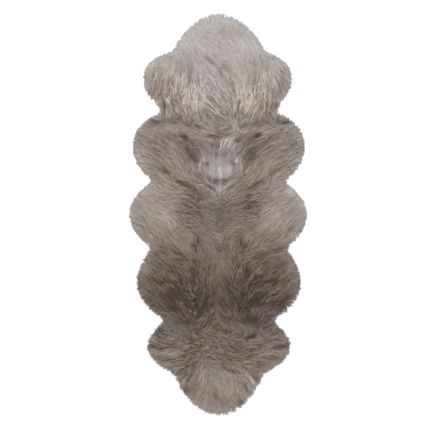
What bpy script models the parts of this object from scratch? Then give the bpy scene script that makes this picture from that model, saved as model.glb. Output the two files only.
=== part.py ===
"""A sheepskin rug: long combed wool on a flat tanned hide, lying on a floor.

Metres, +Z up. The origin is on the floor under the middle of the rug. +Y runs
towards the head end, and +X to the right as seen from above with the head up.

The outline is a row of lobes along the middle line, as on a rug that is cut from
skins laid end to end. Both pieces are worked out from that outline: a point is
named by its column round the rug and by its inset from the reach of the wool.
"""

import math
from typing import NamedTuple

import bmesh
import bpy
import numpy as np
from mathutils import Vector, noise

# The whole rug
LENGTH = 1.80
HIDE_THICKNESS = 0.003
HIDE_INSET = 0.042          # the wool reaches this far past the hide's cut edge
PIECE_GAP = 0.0003          # between the hide and the wool round it

# The outline
COLUMNS = 280               # columns round the rug, and locks at its rim
NOTCH_SHARPNESS = 26.0      # how tightly the lobes meet, higher is sharper
TRACE_STEPS = 1500
SQUARING = 2.5              # columns on each side over which a direction is averaged

# The wool
WOOL_HEIGHT = 0.046         # combed wool over the floor, away from the rim
NOTCH_DIP = 0.009           # how much lower it lies where two lobes meet
ROLL_WIDTH = 0.085          # the wool rounds down to the rim over this width
ROLL_FULLNESS = 2.3
SPINE_REACH = 0.70          # the middle line of the wool runs to here at each end
FIELD_ROWS = 8              # rows of faces from the rounded edge to the middle line

# Lumps of the combed wool
LUMP_HEIGHT = 0.008
LUMP_SPACING = 0.085
FURROW_HEIGHT = 0.006       # ridges that run in from the rim
FURROW_COLUMNS = 3.4
FURROW_ROWS = 4.0

# The locks at the rim
LOCK_LENGTH = 0.030
LOCK_ROOT_HEIGHT = 0.014
LOCK_LEAN = 0.55            # columns that a tip drifts towards the tail end
LOCK_STRAY = 0.30           # columns that it strays from its neighbours
TIP_SCATTER = 0.009         # the shortest lock ends this far inside the reach


class Lobe(NamedTuple):
    """One bulge of the outline: part of a superellipse on each side of the middle."""

    name: str
    centre: float           # Y of its widest line
    left: float             # reach of the wool there, towards -X
    right: float            # and towards +X
    fore: float             # from that line to its head end
    aft: float              # from that line to its tail end
    fullness: float         # 2 is an ellipse, less is more pointed


LOBES = (
    Lobe("head", centre=0.472, left=0.269, right=0.277, fore=0.428, aft=0.034, fullness=1.9),
    Lobe("shoulders", centre=0.615, left=0.336, right=0.332, fore=0.139, aft=0.176, fullness=2.4),
    Lobe("upper_flanks", centre=0.311, left=0.385, right=0.389, fore=0.192, aft=0.237, fullness=2.2),
    Lobe("middle", centre=-0.003, left=0.401, right=0.401, fore=0.235, aft=0.239, fullness=1.9),
    Lobe("lower_flanks", centre=-0.313, left=0.367, right=0.373, fore=0.289, aft=0.222, fullness=1.9),
    Lobe("hips", centre=-0.596, left=0.320, right=0.326, fore=0.186, aft=0.169, fullness=1.8),
    Lobe("tail", centre=-0.375, left=0.252, right=0.260, fore=0.292, aft=0.525, fullness=2.1),
)


class Row(NamedTuple):
    """One ring of the wool's surface, as seen in its cross-section at the rim."""

    inset: float
    height: float
    every: int              # keeps each column, or every second one


class EdgeRow(NamedTuple):
    """One ring of the wool's rounded edge, by its travel inwards from the locks."""

    travel: float
    every: int


EDGE_ROWS = (
    EdgeRow(travel=0.006, every=1),
    EdgeRow(travel=0.018, every=1),
    EdgeRow(travel=0.036, every=2),
)


class LockStep(NamedTuple):
    """One section of a lock, as shares of the lock at its root."""

    along: float
    width: float
    height: float


LOCK_STEPS = (
    LockStep(along=0.5, width=0.76, height=0.72),
    LockStep(along=1.0, width=0.30, height=0.28),
)


def half_width(y: float, side: int) -> float:
    """Return the wool's reach from the middle line at y, on side -1 or +1."""
    total = 0.0
    for lobe in LOBES:
        span = lobe.fore if y > lobe.centre else lobe.aft
        reach = lobe.right if side > 0 else lobe.left
        share = min(abs(y - lobe.centre) / span, 1.0)
        bulge = reach * (1.0 - share**lobe.fullness) ** (1.0 / lobe.fullness)
        total += bulge**NOTCH_SHARPNESS
    return total ** (1.0 / NOTCH_SHARPNESS)


def trace_columns() -> tuple[np.ndarray, np.ndarray]:
    """Return the columns and the Y values of points down one side of the outline."""
    y = 0.5 * LENGTH * np.cos(np.linspace(0.0, math.pi, TRACE_STEPS))
    x = np.array([0.5 * (half_width(v, -1) + half_width(v, 1)) for v in y])
    travel = np.concatenate(([0.0], np.cumsum(np.hypot(np.diff(x), np.diff(y)))))
    return travel / travel[-1] * COLUMNS / 2, y


TRACE = trace_columns()


def outline(column: float) -> Vector:
    """Return the wool's reach at a column: 0 is the head tip, then down the right side."""
    column %= COLUMNS
    side = 1 if column <= COLUMNS / 2 else -1
    y = float(np.interp(min(column, COLUMNS - column), *TRACE))
    return Vector((side * half_width(y, side), y))


def rim(column: float, inset: float) -> Vector:
    """Return the point that lies inset from the outline, about square to it."""
    tangent = (outline(column + SQUARING) - outline(column - SQUARING)).normalized()
    return outline(column) + inset * Vector((tangent.y, -tangent.x))


def fleece_height(point: Vector, column: float, row: float, travel: float) -> float:
    """Return the height of the wool's lumpy top, at a travel inwards from its wall."""
    y = point.y
    crest = max(lobe.right for lobe in LOBES if lobe.centre - lobe.aft < y < lobe.centre + lobe.fore)
    dip = NOTCH_DIP * min(1.0, 5.0 * (1.0 - half_width(y, 1) / crest))
    outward = min(1.0, abs(point.x) / half_width(y, 1))
    lump = noise.noise(Vector((point.x, y, 0.0)) / LUMP_SPACING)
    furrow = noise.noise(Vector((column / FURROW_COLUMNS, row / FURROW_ROWS, 5.0)))
    top = WOOL_HEIGHT - dip * outward + LUMP_HEIGHT * lump + FURROW_HEIGHT * outward * furrow
    share = min(travel / ROLL_WIDTH, 1.0)
    rise = (1.0 - (1.0 - share) ** ROLL_FULLNESS) ** (1.0 / ROLL_FULLNESS)
    return LOCK_ROOT_HEIGHT + rise * (top - LOCK_ROOT_HEIGHT)


def skirt_rows() -> list[Row]:
    """Return the rows from the hide's edge, over the floor and up to the locks' tops."""
    inner = HIDE_INSET - PIECE_GAP
    return [
        Row(inner, HIDE_THICKNESS + PIECE_GAP, 2),
        Row(inner, 0.0, 2),
        Row(LOCK_LENGTH, 0.0, 1),
        Row(LOCK_LENGTH, LOCK_ROOT_HEIGHT, 1),
    ]


def fleece_point(column: int, row: int) -> tuple[float, float, float]:
    """Return where a grid corner goes, in rows from under the rim to the middle line."""
    skirt = skirt_rows()
    if row < len(skirt):
        section = skirt[row]
        x, y = rim(column - column % section.every, section.inset)
        return x, y, section.height
    row -= len(skirt)
    if row < len(EDGE_ROWS):
        section = EDGE_ROWS[row]
        column -= column % section.every
        point = rim(column, LOCK_LENGTH + section.travel)
        return point.x, point.y, fleece_height(point, column, row, section.travel)
    column -= column % 2
    edge_travel = EDGE_ROWS[-1].travel
    edge = rim(column, LOCK_LENGTH + edge_travel)
    across = rim(COLUMNS - column, LOCK_LENGTH + edge_travel)
    level = 0.5 * (edge.y + across.y)
    spine = Vector((0.0, max(-SPINE_REACH, min(SPINE_REACH, level))))
    point = edge.lerp(spine, (row - len(EDGE_ROWS) + 1) / FIELD_ROWS)
    travel = edge_travel + (point - edge).length
    return point.x, point.y, fleece_height(point, column, row, travel)


def grow_lock(bm: bmesh.types.BMesh, face: bmesh.types.BMFace, column: int) -> None:
    """Extrude one face of the rim's wall into a flat-footed, tapered lock."""
    scatter = noise.noise(Vector((column * 1.7, 3.0, 0.0)))
    inset_end = TIP_SCATTER * min(1.0, 1.6 * abs(scatter))
    middle = column + 0.5
    tailward = math.sin(2.0 * math.pi * middle / COLUMNS)
    for step in LOCK_STEPS:
        face = bmesh.ops.extrude_discrete_faces(bm, faces=[face])["faces"][0]
        inset = LOCK_LENGTH + step.along * (inset_end - LOCK_LENGTH)
        centre = middle + (LOCK_LEAN * tailward + LOCK_STRAY * scatter) * step.along**2
        for vert in face.verts:
            on_floor = vert.co.z < 0.5 * step.height * LOCK_ROOT_HEIGHT
            near = (vert.co.xy - rim(column, inset)).length
            far = (vert.co.xy - rim(column + 1, inset)).length
            half = 0.5 * step.width if far < near else -0.5 * step.width
            vert.co.xy = rim(centre + half, inset)
            vert.co.z = 0.0 if on_floor else step.height * LOCK_ROOT_HEIGHT


def wool_finish() -> bpy.types.Material:
    """Return the plain finish of the wool: warm grey-brown and quite matt."""
    return finish("wool", colour=(0.30, 0.25, 0.22), roughness=0.85)


def hide_finish() -> bpy.types.Material:
    """Return the plain finish of the tanned skin: pale cream suede."""
    return finish("suede", colour=(0.66, 0.58, 0.47), roughness=0.9)


def finish(name: str, colour: tuple[float, float, float], roughness: float) -> bpy.types.Material:
    """Return a new material with the given base colour and roughness."""
    material = bpy.data.materials.new(name)
    material.use_nodes = True
    shader = material.node_tree.nodes["Principled BSDF"]
    shader.inputs["Base Color"].default_value = (*colour, 1.0)
    shader.inputs["Roughness"].default_value = roughness
    shader.inputs["Metallic"].default_value = 0.0
    return material


def build_fleece(collection: bpy.types.Collection) -> None:
    """Build the wool: a lumpy slab, hollowed under for the hide, with locks at its rim."""
    rows = len(skirt_rows()) + len(EDGE_ROWS) + FIELD_ROWS
    bm = bmesh.new()
    bmesh.ops.create_grid(bm, x_segments=COLUMNS, y_segments=rows - 1, size=1.0)
    corner = {}
    for vert in bm.verts:
        column = round(0.5 * (vert.co.x + 1.0) * COLUMNS)
        row = round(0.5 * (vert.co.y + 1.0) * (rows - 1))
        corner[column, row] = vert
    for (column, row), vert in corner.items():
        vert.co = fleece_point(column, row)

    wall = len(skirt_rows()) - 2
    for column in range(COLUMNS):
        foot, foot_next = corner[column, wall], corner[column + 1, wall]
        face = next(f for f in foot.link_faces if foot_next in f.verts and corner[column, wall + 1] in f.verts)
        grow_lock(bm, face, column)

    bmesh.ops.remove_doubles(bm, verts=bm.verts, dist=0.00002)
    bmesh.ops.holes_fill(bm, edges=bm.edges, sides=0)
    bmesh.ops.recalc_face_normals(bm, faces=bm.faces)
    mesh = bpy.data.meshes.new("fleece")
    bm.to_mesh(mesh)
    bm.free()
    mesh.shade_smooth()
    mesh.set_sharp_from_angle(angle=math.radians(45.0))
    mesh.materials.append(wool_finish())
    collection.objects.link(bpy.data.objects.new("fleece", mesh))


def build_hide(collection: bpy.types.Collection) -> None:
    """Build the hide: one flat sheet that follows the outline inside the wool's reach."""
    curve = bpy.data.curves.new("hide", type="CURVE")
    curve.dimensions = "2D"
    curve.fill_mode = "BOTH"
    curve.extrude = 0.5 * HIDE_THICKNESS
    edge = curve.splines.new("POLY")
    edge.points.add(COLUMNS // 2 - 1)
    for number, point in enumerate(edge.points):
        x, y = rim(2 * number, HIDE_INSET)
        point.co = (x, y, 0.0, 1.0)
    edge.use_cyclic_u = True
    curve.materials.append(hide_finish())
    hide = bpy.data.objects.new("hide", curve)
    hide.location.z = 0.5 * HIDE_THICKNESS
    collection.objects.link(hide)


def main() -> None:
    """Clear the scene and build both pieces in the rug's own collection."""
    for old in list(bpy.data.objects):
        bpy.data.objects.remove(old)
    rug = bpy.data.collections.new("sheepskin_rug")
    bpy.context.scene.collection.children.link(rug)
    build_hide(rug)
    build_fleece(rug)


main()
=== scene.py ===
"""A lobed sheepskin rug of long combed wool, lying on a pale floor and seen from above.

Metres, +Z up, +Y towards the rug's head end. The rug is a tanned hide, the dense
undercoat that grows on it, and seven sections of combed locks over that. Every lock
is a tuft of tapered strands that leaves the undercoat, follows the lie of the wool
and ends in a gathered tip.
"""

from __future__ import annotations

import logging
import math
from dataclasses import dataclass, field, fields
from enum import Enum

import bpy
import numpy as np
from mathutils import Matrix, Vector
from mathutils.bvhtree import BVHTree
from mathutils.kdtree import KDTree

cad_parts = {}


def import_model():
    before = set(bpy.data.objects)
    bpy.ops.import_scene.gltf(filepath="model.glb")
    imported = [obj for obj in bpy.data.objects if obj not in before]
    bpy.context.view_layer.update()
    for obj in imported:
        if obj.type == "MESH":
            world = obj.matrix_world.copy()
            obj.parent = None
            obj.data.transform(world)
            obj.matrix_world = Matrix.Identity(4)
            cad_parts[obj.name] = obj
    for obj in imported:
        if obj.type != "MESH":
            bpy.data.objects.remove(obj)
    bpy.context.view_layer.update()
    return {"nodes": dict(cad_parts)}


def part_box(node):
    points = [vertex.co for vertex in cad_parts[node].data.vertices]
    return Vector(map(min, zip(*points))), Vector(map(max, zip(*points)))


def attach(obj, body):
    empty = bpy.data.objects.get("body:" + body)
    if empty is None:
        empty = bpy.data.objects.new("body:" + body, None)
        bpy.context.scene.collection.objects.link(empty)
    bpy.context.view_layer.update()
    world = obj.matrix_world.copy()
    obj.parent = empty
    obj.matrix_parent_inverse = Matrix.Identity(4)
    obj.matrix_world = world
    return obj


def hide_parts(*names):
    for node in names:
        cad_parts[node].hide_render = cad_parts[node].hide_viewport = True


log = logging.getLogger("sheepskin_rug")

PIXEL = 0.004506                    # metres of floor in one pixel of the photograph's frame
RUG_MIDDLE = (218.0, 213.75)        # where the rug's middle lies in that frame, in pixels
FRAME_PIXELS = 430
RUG_LENGTH = 1.80
OUTLINE_STEPS = 700                 # points on each side of the finest outline
MEASURES_PER_STEP = 20              # how often the outline is measured between two of its points
PALETTE_MAP = "OFBake"              # the wool's own map: tone across, tint up
TINY = 1e-6


class Slot(Enum):
    """The two kinds of material: wool and suede."""

    WOOL = "wool"
    SUEDE = "suede"


# -------------------- the rug's plan


@dataclass(frozen=True)
class Lobe:
    """One bulge of the outline, with the wool that grows on it.

    centre, left, right, fore, aft and fullness shape it as in the solids. The next four
    are the lengths of its locks and how pale its wool is, along the middle and at the
    sides. warmth runs from grey to tan, and looseness from sleek to tousled.
    """

    name: str
    centre: float
    left: float
    right: float
    fore: float
    aft: float
    fullness: float
    middle_staple: float
    side_staple: float
    middle_tone: float
    side_tone: float
    warmth: float
    looseness: float


LOBES = (
    Lobe("head", 0.472, 0.269, 0.277, 0.428, 0.034, 1.9, 0.034, 0.034, 0.77, 0.73, 0.00, 0.22),
    Lobe("shoulders", 0.615, 0.336, 0.332, 0.139, 0.176, 2.4, 0.045, 0.049, 0.95, 0.81, 0.34, 0.90),
    Lobe("upper_flanks", 0.311, 0.385, 0.389, 0.192, 0.237, 2.2, 0.041, 0.053, 0.58, 0.53, 0.44, 0.90),
    Lobe("middle", -0.003, 0.401, 0.401, 0.235, 0.239, 1.9, 0.030, 0.054, 0.525, 0.71, 0.46, 0.78),
    Lobe("lower_flanks", -0.313, 0.367, 0.373, 0.289, 0.222, 1.9, 0.028, 0.040, 0.205, 0.16, 0.92, 0.90),
    Lobe("hips", -0.596, 0.320, 0.326, 0.186, 0.169, 1.8, 0.038, 0.052, 0.465, 0.485, 0.58, 1.00),
    Lobe("tail", -0.375, 0.252, 0.260, 0.292, 0.525, 2.1, 0.036, 0.044, 0.65, 0.64, 0.64, 0.75),
)

TONE_PLACES = {"head": 0.78, "tail": -0.78}     # where the end lobes' own wool is truest
NOTCH_SHARPNESS = 26.0

# Each row below is a place along the rug, in pixels, with the value there.
WOOL_MIDDLE = ((60, 0.0), (105, 2.3), (240, 2.3), (300, 0.6), (420, 0.0))       # pixels to the right
MIDDLE_STRIP = (                    # metres to each side of the middle in which the lie swings round
    (185, 0.018), (197, 0.009), (248, 0.008), (262, 0.010), (326, 0.010), (336, 0.018),
)
LEFT_REACH = (                      # metres by which the tips pass the outline
    (14, 0.005), (22, 0.003), (38, 0.003), (58, -0.002), (68, 0.000), (106, 0.001), (112, -0.005),
    (122, -0.004), (138, -0.004), (150, 0.000), (172, 0.000), (178, -0.004), (188, -0.001),
    (298, 0.000), (306, 0.004), (314, 0.003), (322, -0.001), (342, -0.003), (361, 0.003), (368, 0.001),
    (378, 0.009), (396, 0.008), (414, 0.010),
)
RIGHT_REACH = (
    (14, 0.006), (22, 0.006), (38, 0.006), (50, 0.003), (64, -0.002), (76, 0.002), (106, 0.000),
    (112, -0.006), (122, -0.002), (134, 0.000), (148, 0.004), (178, 0.003), (190, -0.003), (210, 0.000),
    (226, 0.004), (246, 0.008), (258, -0.001), (272, 0.003), (286, 0.003), (298, 0.001), (306, 0.013),
    (312, 0.003), (322, -0.002), (361, 0.004), (368, 0.003), (378, 0.010), (390, 0.006), (400, 0.025),
    (414, 0.016),
)


def unit(ways: np.ndarray) -> np.ndarray:
    """Return vectors at a length of 1."""
    return ways / np.maximum(np.linalg.norm(ways, axis=-1, keepdims=True), TINY)


def turned(ways: np.ndarray, angles: np.ndarray) -> np.ndarray:
    """Return flat vectors turned to the left.

    Args:
        ways: rows of x and y.
        angles: how far each turns, in radians.

    Returns:
        Rows of x and y.
    """
    cos, sin = np.cos(angles), np.sin(angles)
    return np.column_stack((ways[:, 0] * cos - ways[:, 1] * sin, ways[:, 0] * sin + ways[:, 1] * cos))


def ease(share: np.ndarray) -> np.ndarray:
    """Return shares from 0 to 1 that leave 0 and reach 1 gently."""
    return share * share * (3.0 - 2.0 * share)


def on_rug(x: float, y: float) -> np.ndarray:
    """Return the place, in metres, of pixels right of the middle line and below the frame's top."""
    return np.array((x * PIXEL, (RUG_MIDDLE[1] - y) * PIXEL))


def along_rug(y: np.ndarray, rows: tuple[tuple[float, float], ...]) -> np.ndarray:
    """Return a value that changes along the rug.

    Args:
        y: places along the rug.
        rows: pixels below the frame's top, each with its value.

    Returns:
        One value for each place.
    """
    return np.interp(RUG_MIDDLE[1] - y / PIXEL, [row[0] for row in rows], [row[1] for row in rows])


def wool_middle(y: np.ndarray) -> np.ndarray:
    """Return where the wool's own middle line runs, a little right of the outline's."""
    return PIXEL * along_rug(y, WOOL_MIDDLE)


def half_width(y: np.ndarray, side: int) -> np.ndarray:
    """Return the wool's reach from the middle line.

    Args:
        y: places along the rug.
        side: -1 for the left reach and +1 for the right one.

    Returns:
        The reach at each place, and 0 past the ends.
    """
    total = np.zeros_like(y)
    for lobe in LOBES:
        span = np.where(y > lobe.centre, lobe.fore, lobe.aft)
        reach = lobe.right if side > 0 else lobe.left
        share = np.minimum(np.abs(y - lobe.centre) / span, 1.0)
        bulge = reach * (1.0 - share**lobe.fullness) ** (1.0 / lobe.fullness)
        total += bulge**NOTCH_SHARPNESS
    return total ** (1.0 / NOTCH_SHARPNESS)


def outline_points(steps: int) -> np.ndarray:
    """Return even points round the outline, from the head tip down the right side.

    Args:
        steps: how many points go on each side.

    Returns:
        An array of 2 * steps rows of x and y.
    """
    fine = 0.5 * RUG_LENGTH * np.cos(np.linspace(0.0, math.pi, MEASURES_PER_STEP * steps))
    mean_x = 0.5 * (half_width(fine, -1) + half_width(fine, 1))
    travel = np.concatenate(([0.0], np.cumsum(np.hypot(np.diff(mean_x), np.diff(fine)))))
    y = np.interp(np.linspace(0.0, travel[-1], steps + 1), travel, fine)
    right = np.column_stack((half_width(y, 1), y))
    left = np.column_stack((-half_width(y, -1), y))
    return np.vstack((right[:-1], left[:0:-1]))


def inset_points(steps: int, inset: float, smoothing: int) -> np.ndarray:
    """Return the outline's points, each moved in square to the averaged outline.

    Args:
        steps: how many points go on each side.
        inset: how far in they move.
        smoothing: over how many points on each side a direction is averaged.

    Returns:
        An array of 2 * steps rows of x and y.
    """
    edge = outline_points(steps)
    tangent = unit(np.roll(edge, -smoothing, axis=0) - np.roll(edge, smoothing, axis=0))
    return edge + inset * np.column_stack((tangent[:, 1], -tangent[:, 0]))


# -------------------- the lie of the wool


@dataclass(frozen=True)
class CombStroke:
    """How the wool lies at one place.

    x and y are in pixels of the photograph's frame, from the rug's middle line and from
    the frame's top. heading is 0 straight out to the right, 90 to the tail and -90 to the
    head.
    """

    x: float
    y: float
    heading: float


LONE_STROKES = tuple(CombStroke(*row) for row in (
    # the head: sleek, aslant down to the right
    (-22, 34, 60), (-4, 26, 66), (12, 30, 58), (-12, 48, 54), (6, 50, 46), (22, 46, 66), (32, 56, 88),
    (-30, 52, 66), (-6, 62, 44), (8, 66, 42), (20, 62, 58),
    # the shoulders: straight down, drawn in at the waist, with a band aslant over the nape
    (-5, 82, 36), (-2, 94, 32), (-4, 108, 30), (6, 76, 52), (9, 102, 50), (4, 118, 34), (17, 114, 110),
    (19, 124, 112),
    # the upper flanks: level along the hem, then out and up, steeper below
    (-14, 148, 214), (-8, 138, 204), (3, 144, 108), (9, 146, 118), (16, 143, 135), (18, 138, 168),
    (12, 153, 108),
    # the hips: wavy and nearly level
    (-14, 338, 12), (0, 337, 16), (14, 340, 18), (27, 346, 8), (0, 348, 14), (12, 352, 16),
    (25, 357, 8), (-8, 350, 6), (-22, 340, 196), (-22, 350, 184), (-20, 361, 140), (-29, 360, 162),
    (2, 361, 30), (-34, 344, 186),
    # the tail: down, and out at its sides
    (-14, 371, 98), (-24, 372, 120), (-2, 373, 80), (10, 372, 48), (22, 373, 34), (0, 385, 88),
    (14, 387, 78), (-19, 396, 114), (-5, 398, 92), (8, 400, 62), (0, 409, 90),
))

TWIN_STROKES = tuple(CombStroke(*row) for row in (      # each lies on the other side too, mirrored
    # the shoulders: straight down, drawn in at the waist, with a band aslant over the nape
    (60, 64, 74), (70, 78, 66), (66, 92, 88), (58, 104, 106), (48, 76, 88), (46, 94, 98),
    (44, 108, 118), (34, 116, 126), (52, 116, 118), (28, 74, 91), (26, 92, 93), (25, 106, 103),
    (24, 117, 124),
    # the upper flanks: level along the hem, then out and up, steeper below
    (26, 128, -30), (44, 126, -22), (62, 124, -12), (72, 130, -16), (10, 130, -34), (34, 138, -30),
    (50, 141, -35), (60, 150, -26), (78, 140, -16), (80, 152, -24), (70, 160, -32), (64, 168, -44),
    (56, 176, -46), (44, 170, -58), (34, 168, -72), (26, 160, -52), (30, 150, -38),
    # the shield and its collar
    (0, 170, -90), (10, 168, -72), (19, 164, -98), (14, 175, -52), (10, 187, -36), (22, 184, -28),
    (36, 183, -26), (48, 180, -34), (60, 185, -30),
    # the middle lobe: wavy and level beside the spine, out and up at the sides
    (0, 193, -90), (8, 203, -32), (5, 212, -14), (6, 222, -8), (18, 197, -34), (31, 198, -26),
    (19, 208, -16), (30, 209, -12), (19, 218, -4), (31, 218, -8), (52, 194, -18), (66, 196, -22),
    (78, 202, -22), (56, 210, -26), (72, 213, -36), (84, 216, -42), (50, 224, -48), (62, 228, -52),
    (76, 228, -52), (40, 232, -36), (30, 238, -44), (22, 247, -62), (8, 238, -34), (4, 249, -80),
    (12, 229, -16), (66, 242, -50),
    # the lower flanks: up and out at the sides, up and in towards the spine
    (54, 250, -28), (40, 254, -26), (26, 257, -32), (66, 257, -42), (74, 267, -46), (76, 282, -48),
    (70, 296, -46), (58, 269, -38), (56, 285, -40), (44, 276, -46), (34, 268, -42), (22, 267, -56),
    (9, 263, -104), (6, 278, -104), (30, 284, -60), (42, 293, -34), (28, 301, -38), (17, 291, -112),
    (7, 293, -116), (56, 303, -42), (46, 313, -46), (31, 312, -66), (36, 322, -50), (16, 313, -130),
    (5, 306, -122), (12, 322, -136), (4, 319, -136), (22, 325, -146),
    # the hips: wavy and nearly level
    (54, 331, -24), (62, 340, -14), (66, 348, -2), (60, 357, 6), (46, 344, -14), (48, 352, 0),
    (44, 361, 16),
    # the tail: down, and out at its sides
    (47, 368, 34), (40, 376, 50), (34, 388, 58), (26, 400, 64),
))


@dataclass(frozen=True)
class Parting:
    """A line along the rug, in the frame's pixels, with locks that lie across it.

    rise is how far these locks turn towards the head, in degrees.
    """

    x: float
    top: float
    foot: float
    locks: int
    rise: float


PARTINGS = (
    Parting(2.3, 196, 250, 160, 0.0),
    Parting(0.6, 284, 328, 110, 42.0),
    Parting(-12, 336, 364, 60, 0.0),
)


# -------------------- the markings


SHARP_CHANGE = 0.19                 # a narrow patch that changes the tone this much has tufts of its own
SHARP_BREADTH = 2.6


@dataclass(frozen=True)
class WoolPatch:
    """A place where the wool is painted paler or darker, and warmer or greyer, than its lobe:
    its own markings, and also painted shade and painted highlights where a name or a
    comment below says so.

    x and y are in pixels of the photograph's frame, from the middle line and from the
    frame's top. The patch spreads length along its turn, which is a heading as a stroke's,
    and breadth across it. change is added to the tone, warmth to the tint and ruffle to
    the looseness. dashes are thin dark tufts that lie in it with the wool, painted shade
    for the dark gaps between locks. A patch is mirrored unless it is one-sided.
    """

    name: str
    x: float
    y: float
    length: float
    breadth: float
    turn: float
    change: float = 0.0
    warmth: float = 0.0
    ruffle: float = 0.0
    dashes: int = 0
    one_sided: bool = False

    def is_sharp(self) -> bool:
        """Return whether the patch has tufts of its own on top of the wool."""
        return abs(self.change) >= SHARP_CHANGE and self.breadth <= SHARP_BREADTH

    def sides(self) -> tuple[float, ...]:
        """Return the sides it lies on: 1 as given, and -1 for its mirror image."""
        return (1.0,) if self.one_sided else (1.0, -1.0)

    def centre(self, side: float) -> np.ndarray:
        """Return the place of the patch's middle.

        Args:
            side: 1 as given, or -1 for its mirror image.

        Returns:
            Its x and y.
        """
        x, y = on_rug(self.x, self.y)
        middle = 0.0 if self.one_sided else float(wool_middle(y))
        return np.array((middle + side * x, y))

    def ways(self, side: float = 1.0) -> tuple[np.ndarray, np.ndarray]:
        """Return the way the patch runs and the way across it.

        Args:
            side: 1 as given, or -1 for its mirror image.

        Returns:
            Two unit vectors.
        """
        turn = math.radians(self.turn)
        ahead = np.array((side * math.cos(turn), -math.sin(turn)))
        return ahead, np.array((ahead[1], -ahead[0]))

    def share_at(self, away: np.ndarray) -> np.ndarray:
        """Return how fully the patch shows, from 1 in its middle down to 0.

        Args:
            away: rows of x and y, from the patch's middle.

        Returns:
            One share for each row.
        """
        ahead, aside = self.ways()
        forth = (away @ ahead) / (self.length * PIXEL)
        across = (away @ aside) / (self.breadth * PIXEL)
        return np.exp(-0.5 * (forth**2 + across**2))


def twin(name: str, *sizes: float, **more: float) -> WoolPatch:
    """Return a patch that lies on both sides, mirrored.

    Args:
        name: what it is called.
        sizes: its place, spread, turn, change and warmth.
        more: its ruffle and dashes, if it has some.

    Returns:
        The patch.
    """
    return WoolPatch(name, *sizes, **more)


def lone(name: str, *sizes: float, **more: float) -> WoolPatch:
    """Return a patch that lies where it says alone, with the same values as a twin."""
    return WoolPatch(name, *sizes, **more, one_sided=True)


HEAD_PATCHES = (
    lone("tan crown", 9, 30, 11, 6, 0, -0.03, 0.38),
    lone("crown spot", 5, 34, 3.0, 2.2, 50, -0.16, 0.20),
    lone("second crown spot", 18, 34, 4.5, 3, 0, -0.10, 0.25),
    lone("crown shine", 24, 50, 9, 7, 0, 0.05),
    lone("temple blush", -24, 46, 13, 6, 45, 0.03, 0.22),
    # painted shade in the creases of the brow
    lone("brow crease", -8, 62, 6, 1.7, 40, -0.19, 0.10),
    lone("second brow crease", 7, 70, 6, 2.0, 42, -0.19),
    twin("temple shade", 40, 64, 7, 4, 0, -0.13, 0.05),
    lone("cool brow", -14, 67, 5, 4, 90, 0.00, -0.40),
    lone("left brow", -24, 60, 12, 8, 80, -0.10),
    lone("right brow", 24, 69, 12, 8, 60, -0.13),
    lone("brow", -2, 61, 20, 8, 0, -0.05),
    lone("brow's foot", -1, 69, 5, 3, 0, 0.07),
)

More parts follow.
